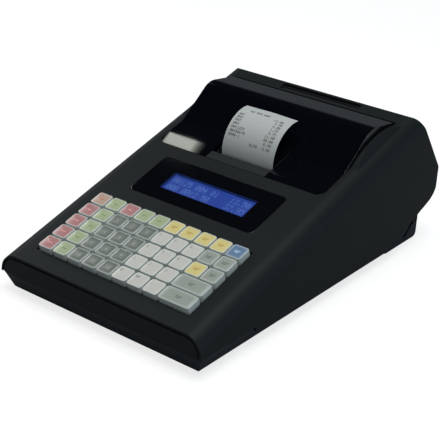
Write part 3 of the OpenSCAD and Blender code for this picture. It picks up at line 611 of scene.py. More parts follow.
MOULDINGS = (
    # The front panel's faces take the darker finish, which is painted shade.
    ("upper_case", "upper_moulding", "case", (case_black, front_painted_shade), on_front_panel),
    ("lower_case", "lower_moulding", "case", tray_painted_light),
    ("printer_cover", "cover_moulding", "cover", gloss_black),
    ("customer_display", "pop_up_housing", "pop_up", turret_black),
)
for row in MOULDINGS:
    print(row[0], len(smooth_copy(*row).data.polygons), "faces")

# %% [markdown]
# ## Display window
# The window is one plate of clear plastic printed black from behind, except where the display
# shows through. Mixing glass and black in one shader would need a mask with a perfectly sharp edge,
# so the printed border and the clear middle are two pieces, each with its own shader. The border
# is a stack of outlines whose inner wall is the opening.

# %% Window border
WINDOW = {"w": 137.1, "l": 54.7, "t": 1.8, "r": 5.4, "s": 148.2, "rim": 0.3}
GLASS = {"x": 1.8, "s": 147.5, "w": 92.0, "l": 23.3}
OPENING = {"lap": 0.2, "r": 0.8}


def plate_with_opening(outer, inner):
    """A flat ring: outline pairs at the bottom and top, joined outside, inside and across both faces."""
    n = outer.shape[1]
    points = np.concatenate([outer.reshape(-1, 3), inner.reshape(-1, 3)])
    j = np.arange(n)
    k = (j + 1) % n
    rows, faces = len(outer), []
    for i in range(rows - 1):
        faces.append(np.stack([i * n + j, i * n + k, (i + 1) * n + k, (i + 1) * n + j], -1))
    base = rows * n
    top, inner_top = (rows - 1) * n, base + n
    faces.append(np.stack([top + j, top + k, inner_top + k, inner_top + j], -1))
    faces.append(np.stack([inner_top + j, inner_top + k, base + k, base + j], -1))
    faces.append(np.stack([base + j, base + k, k, j], -1))
    return points, np.concatenate(faces).tolist()


def window_ring(width, length, radius, x, s, h):
    """One rounded outline round the middle (x, s), at the height h."""
    ring = rounded_outline(width, length, radius, 9)
    return np.column_stack([ring[:, 0] + x, ring[:, 1] + s, np.full(len(ring), h)])


rim, under = WINDOW["rim"], -WINDOW["t"]
outer = np.array([
    window_ring(WINDOW["w"] - 2 * inset, WINDOW["l"] - 2 * inset, WINDOW["r"] - inset, 0, WINDOW["s"], h)
    for inset, h in ((0, under), (0, -rim), (rim * 0.3, -rim * 0.3), (rim, 0), (2 * rim, 0))
])
inner = np.array([
    window_ring(GLASS["w"] + 2 * OPENING["lap"], GLASS["l"] + 2 * OPENING["lap"], OPENING["r"],
                GLASS["x"], GLASS["s"], h)
    for h in (under, 0)
])
points, faces = plate_with_opening(outer, inner)
new_piece("window_border", on_deck(points), faces, window_black, "case", "display_window",
          "smoked_window")
print("window border", len(faces), "faces")

# %% [markdown]
# The clear middle is a thin lens of acrylic. A Principled shader with full transmission bends
# light as acrylic does, and its smooth face keeps the reflections that make it read as glass. A
# slight smear of noise in the roughness keeps it from looking like bare water.

# %% Clear lens
LENS_LAP = 0.15
LENS_PROFILE = [(0.15, -1.75), (0, -1.6), (0, -0.25), (0.2, -0.05)]
clear, tree, shader = new_material("clear_acrylic")
shader.inputs["Base Color"].default_value = (0.95, 0.97, 1.0, 1.0)
shader.inputs["Transmission Weight"].default_value = 1.0
shader.inputs["IOR"].default_value = 1.49
smear = add_node(tree, "ShaderNodeTexNoise", {"Vector": object_place(tree)}, Scale=60.0, Detail=3.0)
tree.links.new(maths(tree, "MULTIPLY", smear.outputs[0], 0.03), shader.inputs["Roughness"])
lens_rings = stack_outlines(LENS_PROFILE, GLASS["w"] + 2 * LENS_LAP, GLASS["l"] + 2 * LENS_LAP, 0.75)
lens_rings += np.array([GLASS["x"], GLASS["s"], 0])
lens = new_piece("window_lens", on_deck(lens_rings), bands(*lens_rings.shape[:2]), clear, "case",
                 "display_window", "smoked_window")
print("lens", lens.name)

# %% [markdown]
# ## Dot characters
# The display and the receipt printer both build characters from dots. Text objects would bring
# curved outlines of a typeface, which neither device has. Ten plain digits and a point are
# enough here. Each is five dots wide and seven high, written row by row as a number whose binary
# digits are the dots. A function turns a line of digits into dot positions.

# %% Digits made of dots
DIGITS = {
    "0": (14, 17, 19, 21, 25, 17, 14), "1": (4, 12, 4, 4, 4, 4, 14), "2": (14, 17, 1, 2, 4, 8, 31),
    "3": (31, 2, 4, 2, 1, 17, 14), "4": (2, 6, 10, 18, 31, 2, 2), "5": (31, 16, 30, 1, 1, 17, 14),
    "6": (6, 8, 16, 30, 17, 17, 14), "7": (31, 1, 2, 4, 8, 8, 8), "8": (14, 17, 17, 14, 17, 17, 14),
    "9": (14, 17, 17, 15, 1, 2, 12), ".": (0, 0, 0, 0, 0, 12, 12),
}


def dots_of(text):
    """(column, row) of every dot of a line, six columns to a character, row 0 at the bottom."""
    found = []
    for place, mark in enumerate(text):
        rows = DIGITS.get(mark, (0,) * 7)
        found += [(place * 6 + c, 6 - r) for r in range(7) for c in range(5) if rows[r] >> (4 - c) & 1]
    return np.array(found, float).reshape(-1, 2)


print("dots in 1234567890:", len(dots_of("1234567890")))

# %% [markdown]
# ## Liquid crystal display
# A backlit display glows evenly, a little brighter in places, with a fine pixel grid where
# characters can stand. Its solids keep their places as three copies: the black bezel, the blue
# cell and the board behind it. The lit cell is an emission with only a touch of surface.


# %% Display cell finish
def glowing(name, tone, grid=0.0):
    """A lit surface: slow noise moves the glow, and a checker of pixels darkens it by grid."""
    material, tree, shader = new_material(name)
    where = object_place(tree)
    glow = add_node(tree, "ShaderNodeTexNoise", {"Vector": where}, Scale=30.0, Detail=1.0)
    pixels = add_node(tree, "ShaderNodeTexChecker", {"Vector": where}, Scale=1800.0)
    low = toned(tone, 0.8)
    even = mix_colours(tree, glow.outputs[0], low, tone)
    shaded = maths(tree, "MULTIPLY", pixels.outputs["Fac"], grid)
    tree.links.new(mix_colours(tree, shaded, even, low), shader.inputs["Emission Color"])
    shader.inputs["Emission Strength"].default_value = 1.0
    shader.inputs["Base Color"].default_value = toned(tone, 0.3)
    shader.inputs["Roughness"].default_value = 0.35
    return material


cell_blue = glowing("cell_blue", colour(38, 66, 152), grid=0.4)
cell_lit = glowing("cell_lit", colour(104, 138, 200))
print("display finishes", cell_blue.name, cell_lit.name)

# %% [markdown]
# Circuit boards are green because of their solder mask, which is thin, glossy and lets the copper
# tracks show as slightly raised, lighter lines. A brick texture squeezed into long thin cells
# gives tracks that run mostly one way, with pads where the cells end.

# %% Solder mask
board_green = moulding("board_green", colour(24, 92, 56), 0.35, bump=0.05, wear_and_highlight=0.1)
tree = board_green.node_tree
squeezed = add_node(tree, "ShaderNodeMapping", {"Vector": object_place(tree)}, Scale=(1.0, 1.0, 0.2))
tracks = add_node(tree, "ShaderNodeTexBrick", {"Vector": squeezed.outputs[0]}, Scale=120.0,
                  **{"Mortar Size": 0.035, "Brick Width": 2.6, "Row Height": 0.22})
lay_over(board_green, maths(tree, "MULTIPLY", tracks.outputs["Fac"], 0.6), colour(52, 128, 78))
print("solder mask", len(tree.nodes), "nodes")

# %% [markdown]
# The boards' node holds the main board with its sockets, the display's bezel, the display's own
# board, the lit cell and the flat cable. Each solid is found by the place of its middle. The main
# board and the parts soldered on it are one solid, so its faces are sorted by height: what stands
# above the board's top is black plastic.

# %% Boards, bezel, cell and cable
BOARD_TOP = 13.3 * MM
CABLE_MIDDLE = np.array([0, -12, 34.7]) * MM
DISPLAY_STACK = (("display_bezel", -6.05, port_black), ("display_board", -10.6, board_green),
                 ("display_cell", -3.6, cell_blue))
parts = split_solids("circuit_boards")


def nearest_part(middle):
    """The solid whose box has its middle nearest to a point given in metres."""
    gaps = [np.linalg.norm((p[0].min(axis=0) + p[0].max(axis=0)) / 2 - middle) for p in parts]
    return parts[int(np.argmin(gaps))]


def board_piece(name, part, finishes, indices=None):
    """One solid of the boards' node as a piece of its own."""
    return new_piece(name, *part, finishes, "case", "circuit_boards", "board_green", indices=indices)


above = (face_middles(*parts[0])[:, 2] > BOARD_TOP).astype(int)
boards = [board_piece("main_board", parts[0], [board_green, port_black], above)]
for name, depth, finish in DISPLAY_STACK:
    boards.append(board_piece(name, nearest_part(on_deck([GLASS["x"], GLASS["s"], depth])), finish))
boards.append(board_piece("keyboard_cable", nearest_part(CABLE_MIDDLE), frame_grey))
print("boards", [tuple(np.round(piece.dimensions, 3)) for piece in boards])

# %% [markdown]
# Two lines of digits stand on the cell, as flat dots a hair above it. They are grouped to the
# left and the right, as amounts are on a till.

# %% Characters on the display
DISPLAY_DOT = {"across": 0.72, "up": 0.96, "half": (0.288, 0.396, 0.02), "left": -42.8, "h": -2.87}
DISPLAY_LINES = (("00125 004 01   12.50", 152.2), ("000 0012 50    37.95", 142.8))
spots = []
for text, middle in DISPLAY_LINES:
    dots = dots_of(text)
    spots.append(np.column_stack([
        GLASS["x"] + DISPLAY_DOT["left"] + dots[:, 0] * DISPLAY_DOT["across"],
        middle + (dots[:, 1] - 3) * DISPLAY_DOT["up"],
        np.full(len(dots), DISPLAY_DOT["h"]),
    ]))
points, faces = boxes(np.concatenate(spots), DISPLAY_DOT["half"])
new_piece("display_digits", on_deck(points), faces, cell_lit, "case", "circuit_boards", "board_green")
print("display dots", len(points) // 8)

# %% [markdown]
# ## Keys
# Each key is a clear cap pressed over a pale body, with a coloured card trapped under its top.
# From outside that reads as three things: pale sloping skirts, a bright line where the clear edge
# bends the light, and the card's colour in between. The cap is a stack of rounded outlines: the
# sloping skirt, a quarter-round shoulder, a narrow flat rim, and the wall of a shallow seat for the
# card. Heights count from the deck, and the seat's card stays just under the cap's top.

# %% Key sizes and colours
KEY = {"pitch": 16.75, "gap": 0.55, "taper": 0.5, "up": 4.4, "down": -2.5, "mid": 59.8, "edge": 0.4,
       "r": 2.9, "rim": 0.1, "seat": 0.14}
KEY_ROWS = [line.split() for line in (
    "salmon green pink green green yellow yellow yellow yellow blue",
    "pink green grey grey grey white white white pale pale",
    "pink green grey grey grey white white white yellow pale",
    "pink green grey grey grey white white white pale",
    "pink green grey grey grey white white white pale",
)]


def key_place(row, column):
    """Centre (x, s) and width of a key: ten columns on one pitch, the ninth of a short row is double."""
    wide = column == len(KEY_ROWS[row]) - 1 and len(KEY_ROWS[row]) < 10
    x = (column - 4.5 + (0.5 if wide else 0)) * KEY["pitch"]
    s = KEY["mid"] + (2 - row) * KEY["pitch"]
    return x, s, (2 if wide else 1) * KEY["pitch"] - KEY["gap"]


def cap_profile():
    """(inset, height) rows: straight skirt, quarter-round shoulder, rim, and the wall of the seat."""
    edge, top = KEY["edge"], KEY["up"]
    skirt = KEY["taper"] / (top - KEY["down"]) * (top - edge - KEY["down"])
    rows = [(0, KEY["down"]), (skirt, top - edge)]
    for angle in np.radians([22.5, 45, 67.5, 90]):
        rows.append((skirt + edge * (1 - math.cos(angle)) * 0.8, top - edge + edge * math.sin(angle)))
    shoulder = rows[-1][0]
    return rows + [(shoulder + KEY["rim"], top), (shoulder + KEY["seat"], top - KEY["seat"])]


profile = cap_profile()
print("cap profile", np.round(profile, 2).tolist())

# %% [markdown]
# The card's finish reads the card's own UV map, which runs from -1 to 1 across it. The larger of
# the two distances from the middle makes square rings: the outermost ring is painted pale as a
# painted highlight, for the light that the clear edge above it bends onto the card, and on the grey
# keys a darker printed frame runs inside it. Rings made of mesh would do too, but on forty-eight
# keys a shared group is lighter and easier to tune.

# %% Square rings on the key cards
PRINTED_FRAME = {"starts": (0.5, 0.6), "ends": (0.72, 0.82)}
EDGE_HIGHLIGHT_SPAN = (0.72, 1.0)
rings, r_in, r_out = new_group(
    "card_rings",
    {"Card": ("Color", (0.5, 0.5, 0.5, 1.0)), "Edge": ("Color", (0.8, 0.8, 0.8, 1.0)),
     "Frame": ("Color", (0.1, 0.1, 0.1, 1.0)), "Frame strength": ("Float", 0.0)},
    {"Color": ("Color", None)},
)
split = add_node(rings, "ShaderNodeSeparateXYZ", {"Vector": rings.nodes.new("ShaderNodeUVMap").outputs[0]})
far = maths(rings, "MAXIMUM", *(maths(rings, "ABSOLUTE", split.outputs[axis], 0.0) for axis in "XY"))
inside = maths(rings, "SUBTRACT", 1.0, ramp(rings, far, *PRINTED_FRAME["ends"]))
printed = maths(rings, "MULTIPLY", ramp(rings, far, *PRINTED_FRAME["starts"]), inside)
framed = mix_colours(rings, maths(rings, "MULTIPLY", printed, r_in.outputs["Frame strength"]),
                     r_in.outputs["Card"], r_in.outputs["Frame"])
# Painted highlight: the outer ring is mixed to a pale tone, standing in for light from the clear edge.
highlighted = mix_colours(rings, ramp(rings, far, *EDGE_HIGHLIGHT_SPAN), framed, r_in.outputs["Edge"])
rings.links.new(highlighted, r_out.inputs["Color"])
print("ring group", len(rings.nodes), "nodes")

# %% [markdown]
# One card finish is made per colour, and each is glossy on top, because what the eye meets is the
# clear cap. The skirts get their own finish: cloudy clear plastic, bluish, with painted highlights
# on its edges, where the edge mask mixes in a pale tone at full strength. Its pale tone is partly
# the plastic's own and partly painted light, for the light that passes through the clear plastic.
# Real refraction through forty-eight caps would be slow and noisy, and would hide the cards' tones.

# %% Card and cap finishes
CARD_TONES = {"salmon": (182, 154, 136), "green": (160, 173, 136), "pink": (172, 121, 119),
              "yellow": (208, 195, 126), "blue": (94, 124, 154), "grey": (121, 128, 119),
              "white": (193, 192, 184), "pale": (146, 153, 144)}
INK_TONES = {"salmon": (196, 112, 92), "green": (120, 142, 84), "pink": (222, 158, 154),
             "yellow": (176, 142, 62), "blue": (170, 192, 214), "grey": (176, 182, 176),
             "white": (112, 112, 106), "pale": (98, 106, 98)}
# Pale tone of the painted highlight that the clear cap's edge throws onto the card.
CLEAR_EDGE_HIGHLIGHT = colour(214, 219, 214)


def card_finish(name, tone, framed):
    """A printed card under clear plastic: ring colours with a painted highlight round the edge, faint
    print noise and a thin coat.
    """
    material, tree, shader = new_material(name)
    # The pale edge colour is a painted highlight: the card's tone mixed towards a pale clear tone.
    highlight_share = 0.22 if framed else 0.4
    pale = (*((1 - highlight_share) * c + highlight_share * e for c, e in zip(tone[:3], CLEAR_EDGE_HIGHLIGHT[:3])), 1.0)
    print_rings = put_group(tree, "card_rings", Card=tone, Edge=pale, Frame=toned(tone, 0.5),
                            Frame_strength=0.8 if framed else 0.0)
    mottle = add_node(tree, "ShaderNodeTexNoise", {"Vector": object_place(tree)}, Scale=420.0, Detail=3.0)
    shade = maths(tree, "MULTIPLY", mottle.outputs[0], 0.16)
    tree.links.new(mix_colours(tree, shade, print_rings.outputs[0], toned(tone, 0.7)),
                   shader.inputs["Base Color"])
    shader.inputs["Roughness"].default_value = 0.4
    shader.inputs["Coat Weight"].default_value = 0.6
    shader.inputs["Coat Roughness"].default_value = 0.12
    return material


cards = {key: card_finish("card_" + key, colour(*tone), key == "grey") for key, tone in CARD_TONES.items()}
inks = {key: moulding("ink_" + key, colour(*tone), 0.5, bump=0.0) for key, tone in INK_TONES.items()}
# Painted light: the pale tone partly stands in for light through the clear plastic, and the full edge mask
# with a paler tone paints highlights on the caps' edges.
clear_cap_painted_light = moulding("clear_cap_painted_light", colour(190, 198, 193), 0.22, bump=0.02, drift=0.06, wear_and_highlight=1.0,
                     edge=0.0009, gloss_coat=0.5, worn_and_highlight_tone=colour(206, 213, 213))
print("cards", len(cards), "inks", len(inks))

# %% [markdown]
# Marks on the cards are plain digits or short bars. The digits reuse the dot font, with larger dots
# in the middle of the grey keys and smaller ones in a corner of the white keys. The bars stand
# where keys like these carry words. Marks are thin boxes that lie on the card as one piece with it.

# %% Marks on a card
NUMBER_PAD = ("789", "456", "123", ("0", "00", "."))
PAD_DOT, PAD_CORNER = 0.36, (-5.0, 2.0)
GREY_DOT, GREY_FOOT = 0.42, -1.3
TWO_BARS = (((0, 0.8), (-0.5, -1.0)), ((2.9, 0.5), (2.0, 0.5)))
ONE_BAR = (((0, 0),), ((2.4, 0.55),))


def key_marks(row, column, tone):
    """Small boxes on a card, as middles and half sizes: a number, or bars where others carry a word."""
    if tone == "white":
        number, size, start = NUMBER_PAD[row - 1][column - 5], PAD_DOT, PAD_CORNER
    elif tone == "grey":
        number, size = str((row - 1) * 3 + column - 1), GREY_DOT
        start = (GREY_DOT * (1 - 3 * len(number)), GREY_FOOT)
    else:
        return ONE_BAR if tone in ("green", "salmon", "pink") else TWO_BARS
    middles = np.array(start) + dots_of(number) * size
    return middles, np.full(middles.shape, size / 2)


print("marks of the key 7:", len(key_marks(1, 5, "white")[0]), "dots")

# %% [markdown]
# A key is two pieces: the cap with its plunger, and the card with its marks. The plunger ends above
# the rubber mat even when the key is fully down, so nothing cuts into the mat. The card is a thin
# sheet that fills the cap's seat. Arrays turned about by hand would do for one key, but a function
# of the key's size serves the double keys as well.

# %% Cap and card of a key
STEM = {"half width": 2.6, "top": -2.55, "foot": -9.6}
SEAT_GAP = 0.03
CARD_PROFILE = ((0.05, -0.13), (0.0, -0.08), (0.0, -0.05), (0.06, -0.03))
MARK = {"below top": 0.02, "half height": 0.015}


def make_cap(place, size):
    """Cap and plunger as one closed stack and one box, in deck measures."""
    rings = stack_outlines(profile, *size, KEY["r"], 6)
    half = (STEM["half width"], STEM["half width"], (STEM["top"] - STEM["foot"]) / 2)
    stem = boxes([(0, 0, (STEM["top"] + STEM["foot"]) / 2)], half)
    points, faces = joined((rings, bands(*rings.shape[:2])), stem)
    return points + place, faces


def make_card(size, marks):
    """Sheet and marks round the middle of the key, the faces' finish numbers, and the half size."""
    inset = profile[-1][0] + SEAT_GAP
    seat = [(inset + step, KEY["up"] + height) for step, height in CARD_PROFILE]
    sheet = stack_outlines(seat, *size, KEY["r"], 6)
    middles, halves = marks
    dots = boxes([(*m, KEY["up"] - MARK["below top"]) for m in middles],
                 [[(*h, MARK["half height"])] for h in halves])
    sheet_faces = bands(*sheet.shape[:2])
    points, faces = joined((sheet, sheet_faces), dots)
    indices = [0] * len(sheet_faces) + [1] * len(dots[1])
    return points, faces, indices, (size[0] / 2 - inset, size[1] / 2 - inset)


print("points of a cap", len(make_cap(0, (16.2, 16.2))[0]))

# %% [markdown]
# Cap and card ride on the key's own body, so a press takes both down. The card's UV map is written
# from its flat measures, since unwrapping a flat sheet would only guess at what is known.


# %% Build the keys
def map_card(card, local, half):
    """UV map of a card: each corner of each face takes its place on the card over the half size."""
    layer = card.data.uv_layers.new(name="UVMap")
    corners = np.zeros(len(card.data.loops), np.int32)
    card.data.loops.foreach_get("vertex_index", corners)
    layer.data.foreach_set("uv", (local[corners, :2] / np.array(half)).astype(np.float32).ravel())


def make_key(row, column):
    """One key: cap and card ride on the key's own body and stand for its node."""
    x, s, width = key_place(row, column)
    place, size = np.array([x, s, 0]), (width, KEY["pitch"] - KEY["gap"])
    tone = KEY_ROWS[row][column]
    place_name = f"row{row + 1}_col{column + 1}"
    owner = (f"key_{place_name}_body", f"key_{place_name}", f"key_{tone}")
    points, faces = make_cap(place, size)
    new_piece(f"cap_{place_name}", on_deck(points), faces, clear_cap_painted_light, *owner)
    local, faces, indices, half = make_card(size, key_marks(row, column, tone))
    card = new_piece(f"card_{place_name}", on_deck(local + place), faces, [cards[tone], inks[tone]],
                     *owner, indices=indices)
    map_card(card, local, half)


for row, tones in enumerate(KEY_ROWS):
    for column in range(len(tones)):
        make_key(row, column)
print("keys", sum(len(tones) for tones in KEY_ROWS))

# %% [markdown]
# Under the keys lie a guide frame, a rubber mat with a collar round every plunger, and the
# keyboard's board. The frame touches the board face to face, so the two are one solid. A function
# sorts a solid's faces by their height over the deck, and the second finish goes to the faces that
# a test on the height picks. Here those are the lowest, which are the board's.

# %% Keyboard base
BOARD_FACE = -13.35


def sorted_finishes(node, named, takes_second):
    """A piece per solid of the node; faces whose height passes the test take the second finish."""
    for (points, faces), (name, *finishes) in zip(split_solids(node), named):
        second = takes_second(to_deck(face_middles(points, faces))[:, 2]).astype(int)
        piece = new_piece(name, points, faces, finishes, "case", node, indices=second)
        print(name, tuple(np.round(piece.dimensions, 3)))


sorted_finishes("keyboard_base", (("key_guide", frame_grey, board_green),
                                  ("key_mat", rubber_mat, rubber_mat)), lambda h: h < BOARD_FACE)

# %% [markdown]
# ## Printer mechanism
# A pressed steel frame holds the thermal head and the motor. Its front flange rises through the
# cover's notch as the tear bar, which is painted dark, so the faces above the cover's underside
# take another finish.

# %% Mechanism
COVER_UNDERSIDE = -2.6
sorted_finishes("printer_mechanism", (("mechanism_frame", zinc, tear_grey), ("motor", steel, steel),
                                      ("thermal_head", aluminium, aluminium)),
                lambda h: h > COVER_UNDERSIDE)
print("mechanism sorted above", COVER_UNDERSIDE, "mm")

# %% [markdown]
# ## Receipt
# The paper comes straight up out of the notch and curls back over the cover, because it was wound
# on a roll. Its shape is an arc across the strip's whole width, with a slight wave across its free
# end. A cloth simulation would give a limp sheet, while fresh receipt paper is springy, so the
# curl is a formula. It is a thin closed slab: one sheet of points on the arc, another a hair inside
# it, joined round the rim. Torn paper has a finely toothed end, so the last row of points steps
# back and forth.

# %% Receipt strip
CURL = {"s": 238.9, "h": -9.5, "r": 34.8, "start": 183.0, "end": 71.0, "x": 1.9, "w": 57.5}
ARC = math.radians(CURL["start"] - CURL["end"]) * CURL["r"]
WAVE = {"height": 0.25, "length": 9.0, "sink": 0.12}
SHEET = {"across": 97, "along": 61, "front": 0.1, "back": -0.02, "tooth": 0.45}


def on_receipt(across, along, lift):
    """A point of the strip: across from its middle, along the arc from the slot, lift off its front.
    Radius = curl + lift - sink + a cosine wave across, which grows with the square of the way along."""
    angle = np.radians(CURL["start"]) - along / CURL["r"]
    wave = WAVE["height"] * np.cos(across / WAVE["length"]) * (along / ARC) ** 2
    radius = CURL["r"] + lift + wave - WAVE["sink"]
    return np.stack([CURL["x"] + across, CURL["s"] + radius * np.cos(angle),
                     CURL["h"] + radius * np.sin(angle)], -1)


def slab(front, back):
    """Closes two equal grids into a slab: front faces, back faces reversed, and a rim between."""
    rows, columns = front.shape[:2]
    i, j = np.meshgrid(np.arange(rows - 1), np.arange(columns - 1), indexing="ij")
    a = i * columns + j
    face = np.stack([a, a + 1, a + columns + 1, a + columns], -1).reshape(-1, 4)
    n = rows * columns
    border = np.concatenate([np.arange(columns), np.arange(1, rows) * columns + columns - 1,
                             (rows - 1) * columns + np.arange(columns - 2, -1, -1),
                             np.arange(rows - 2, 0, -1) * columns])
    nxt = np.roll(border, -1)
    rim = np.stack([nxt, border, border + n, nxt + n], -1)
    return (np.concatenate([front.reshape(-1, 3), back.reshape(-1, 3)]),
            np.concatenate([face, face[:, ::-1] + n, rim]).tolist())


across = np.linspace(-CURL["w"] / 2, CURL["w"] / 2, SHEET["across"])
grid_x, grid_v = np.meshgrid(across, np.linspace(0, ARC, SHEET["along"]))
grid_v[-1, 1::2] -= SHEET["tooth"]
points, faces = slab(on_receipt(grid_x, grid_v, SHEET["front"]), on_receipt(grid_x, grid_v, SHEET["back"]))
new_piece("receipt_strip", on_deck(points), faces, receipt_paper, "cover", "receipt", "paper",
          smooth=60.0)
print("receipt arc", round(ARC, 1), "mm")

# %% [markdown]
# The print follows the paper: each dot is a tiny box whose corners are carried onto the arc by
# the same function. Only digits are printed: item numbers on the left, amounts on the right. Each
# entry gives the way up the strip, the left end of its text, and the text.

# %% Print on the receipt
ink_dark = moulding("ink_dark", colour(48, 50, 50), 0.5, bump=0.0)
PRINT = (
    (58.0, -17.5, "00 000 000"), (55.0, 10.5, "12.00"), (51.2, -25.5, "001"), (51.2, 14.0, "2.50"),
    (47.4, -25.5, "002"), (47.4, 14.0, "4.00"), (43.6, -25.5, "003"), (43.6, 14.0, "1.25"),
    (39.8, -25.5, "004"), (39.8, 14.0, "3.75"), (36.0, -25.5, "0011223"), (36.0, 12.2, "11.50"),
    (32.2, -25.5, "00450678"), (32.2, 12.2, "20.00"), (28.4, -25.5, "0090 1"), (28.4, 14.0, "8.50"),
    (24.2, 0.0, "0120"), (24.2, 14.0, "8.50"),
)
PRINT_DOT = {"pitch": 0.36, "half": (0.2016, 0.2016, 0.02), "lift": 0.11}
spots = []
for height, left, text in PRINT:
    dots = dots_of(text) * PRINT_DOT["pitch"] + (left, height)
    spots.append(np.column_stack([dots, np.full(len(dots), PRINT_DOT["lift"])]))
corners, faces = boxes(np.concatenate(spots), PRINT_DOT["half"])
new_piece("receipt_print", on_deck(on_receipt(*corners.T)), faces, ink_dark, "cover", "receipt", "paper")
print("printed dots", len(corners) // 8)

# %% [markdown]
# ## Feet and screws
# A foot is a rubber disc with a rounded edge and a shallow dish that grips the table. It is a
# surface of revolution: a profile of radius and height carried round an upright axis. A Screw
# modifier would turn the same profile, but computed rings can be closed by the same bands as the
# keys. The case screws keep the form of their solids and only take a plated finish.

# %% Feet and screws
FOOT = [(1.0, 0.45), (5.0, 0.45), (5.6, 0.05), (6.9, 0.0), (7.35, 0.2), (7.5, 0.6), (7.5, 3.0), (1.0, 3.0)]
FEET = [(x, y, 0.0) for x in (-83.5, 83.5) for y in (-154.5, 133.5)]
TALLEST_FOOT = 10 * MM


def turned(profile, centre, steps):
    """Rings of a surface of revolution: radius and height rows carried round the centre."""
    angles = np.linspace(0, 2 * math.pi, steps, endpoint=False)
    rows = np.asarray(profile, float)
    ring = np.stack([np.cos(angles), np.sin(angles)], -1)
    flat = rows[:, None, :1] * ring[None]
    tall = np.repeat(rows[:, None, 1:], steps, axis=1)
    return (np.concatenate([flat, tall], -1) + np.asarray(centre, float)) * MM


for number, centre in enumerate(FEET):
    foot_rings = turned(FOOT, centre, 40)
    new_piece(f"foot_{number + 1}", foot_rings, bands(*foot_rings.shape[:2]), rubber_black, "case",
              "feet_and_screws", "rubber_black")
screws = [part for part in split_solids("feet_and_screws") if np.ptp(part[0][:, 2]) > TALLEST_FOOT]
for number, part in enumerate(screws):
    new_piece(f"case_screw_{number + 1}", *part, zinc, "case", "feet_and_screws", "steel")
print("feet", len(FEET), "screws", len(screws))

# %% [markdown]
# ## Studio
# The register stands on a plain white sweep. The floor stays a real surface so that it holds the
# soft shadow, and both floor and sky show white to the camera without lighting the object more.

# %% Floor
FLOOR_HALF = 6.0
FLOOR_GLOW = 0.76
floor_finish, tree, shader = new_material("studio_floor")
shader.inputs["Base Color"].default_value = (0.3, 0.3, 0.3, 1.0)
shader.inputs["Roughness"].default_value = 0.9
shader.inputs["Specular IOR Level"].default_value = 0.0
shader.inputs["Emission Color"].default_value = (1.0, 1.0, 1.0, 1.0)
seen = tree.nodes.new("ShaderNodeLightPath").outputs["Is Camera Ray"]
tree.links.new(maths(tree, "MULTIPLY", seen, FLOOR_GLOW), shader.inputs["Emission Strength"])
mesh = bpy.data.meshes.new("studio_floor")
square = np.array([(-1, -1, 0), (1, -1, 0), (1, 1, 0), (-1, 1, 0)]) * FLOOR_HALF
mesh.from_pydata(square.tolist(), [], [(0, 1, 2, 3)])
mesh.materials.append(floor_finish)
floor = bpy.data.objects.new("studio_floor", mesh)
bpy.context.collection.objects.link(floor)
print("floor", FLOOR_HALF * 2, "m wide")

# %% [markdown]
# Polished black shows whatever is round it. An evenly white sky would turn the cover grey, so the
# world tells rays apart. The camera sees white. A mirrored ray sees white only just above the
# horizon, then a faint haze up to a third of the height, and near black overhead. All other rays take
# a dim, slightly cool grey, which fills the shadows.

# %% Sky
LOW_SKY = (0.03, 0.13)
HAZE_FADES = (0.1, 0.45)
HAZE = 0.12
FILL, OVERHEAD = (0.25, 0.27, 0.29, 1.0), (0.012, 0.012, 0.016, 1.0)
WHITE, MIRRORED_WHITE = (1.0, 1.0, 1.0, 1.0), (0.86, 0.96, 1.0, 1.0)
world = bpy.data.worlds.new("studio_sky")
bpy.context.scene.world = world
world.use_nodes = True
tree = world.node_tree
path = tree.nodes.new("ShaderNodeLightPath")
direction = add_node(tree, "ShaderNodeSeparateXYZ",
                     {"Vector": tree.nodes.new("ShaderNodeTexCoord").outputs["Generated"]})
rise = direction.outputs["Z"]
low_sky = maths(tree, "SUBTRACT", 1.0, ramp(tree, rise, *LOW_SKY))
haze = maths(tree, "MULTIPLY", maths(tree, "SUBTRACT", 1.0, ramp(tree, rise, *HAZE_FADES)), HAZE)
mirrored = maths(tree, "MAXIMUM", path.outputs["Is Glossy Ray"], path.outputs["Is Transmission Ray"])
backdrop = maths(tree, "MULTIPLY", maths(tree, "MAXIMUM", low_sky, haze), mirrored)
white = maths(tree, "MAXIMUM", path.outputs["Is Camera Ray"], backdrop)
dark_end = mix_colours(tree, mirrored, FILL, OVERHEAD)
white_end = mix_colours(tree, mirrored, WHITE, MIRRORED_WHITE)
tree.links.new(mix_colours(tree, white, dark_end, white_end), tree.nodes["Background"].inputs["Color"])
print("sky nodes", len(tree.nodes))

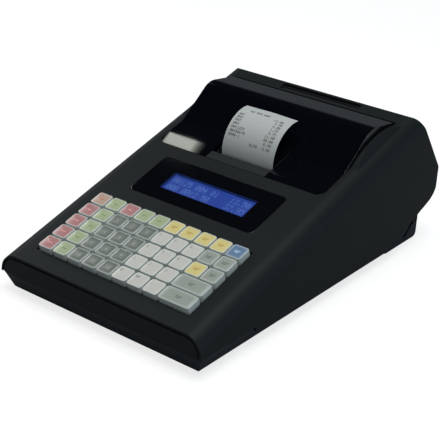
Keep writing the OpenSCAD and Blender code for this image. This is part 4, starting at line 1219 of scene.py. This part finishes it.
# %% [markdown]
# The main panel hangs over the front of the object, a fainter one fills the right side with cool
# light, and a third stands at the left rear. Each is turned to face the keyboard. Area lights are
# used because their wide faces make soft shadows and broad, calm reflections.


# %% Light panels
def light_panel(name, place, aim, width, height, power, tint=(1.0, 1.0, 1.0)):
    """A rectangular area light at a place in metres, turned so that its minus Z meets the aim."""
    lamp = bpy.data.lights.new(name, "AREA")
    lamp.shape = "RECTANGLE"
    lamp.size, lamp.size_y, lamp.energy, lamp.color = width, height, power, tint
    panel = bpy.data.objects.new(name, lamp)
    bpy.context.collection.objects.link(panel)
    back = np.asarray(place, float) - np.asarray(aim, float)
    back /= np.linalg.norm(back)
    side = np.cross((0, 0, 1), back)
    side /= np.linalg.norm(side)
    turn = Matrix(np.stack([side, np.cross(back, side), back]).tolist()).transposed().to_4x4()
    panel.matrix_world = Matrix.Translation(place) @ turn


COOL = (0.3, 0.64, 1.0)
light_panel("panel_top", (0.35, -0.2, 2.0), (0.0, -0.05, 0.05), 1.2, 1.2, 29.0)
light_panel("panel_right", (2.0, 0.5, 0.7), (0.1, 0.0, 0.08), 1.2, 1.0, 4.2, COOL)
light_panel("panel_left", (-1.8, 0.3, 1.2), (0.0, 0.0, 0.08), 1.0, 0.8, 7.0)
print("panels", len(bpy.data.lights))

# %% [markdown]
# The polished cover mirrors one small bright window in its left apron. A small panel stands just
# where that mirror image needs it, and adds next to nothing to the light. A lit window fades
# towards its curtain, so three narrow strips beside the panel, each dimmer than the last, fade its
# right end.

# %% Small panel with a fading end
SMALL = {"left": -0.631, "y": 0.366, "z": 0.733, "height": 0.024, "power per metre": 0.417}
WARM = (0.97, 1.0, 0.9)
left = SMALL["left"]
for number, (width, share) in enumerate(((0.060, 1.0), (0.006, 0.53), (0.006, 0.23), (0.006, 0.06))):
    middle = left + width / 2
    light_panel(f"panel_small_{number + 1}", (middle, SMALL["y"], SMALL["z"]),
                (middle, SMALL["y"] + 0.001, 0.0), width, SMALL["height"],
                SMALL["power per metre"] * width * share, WARM)
    left += width
print("panels in all", len(bpy.data.lights))
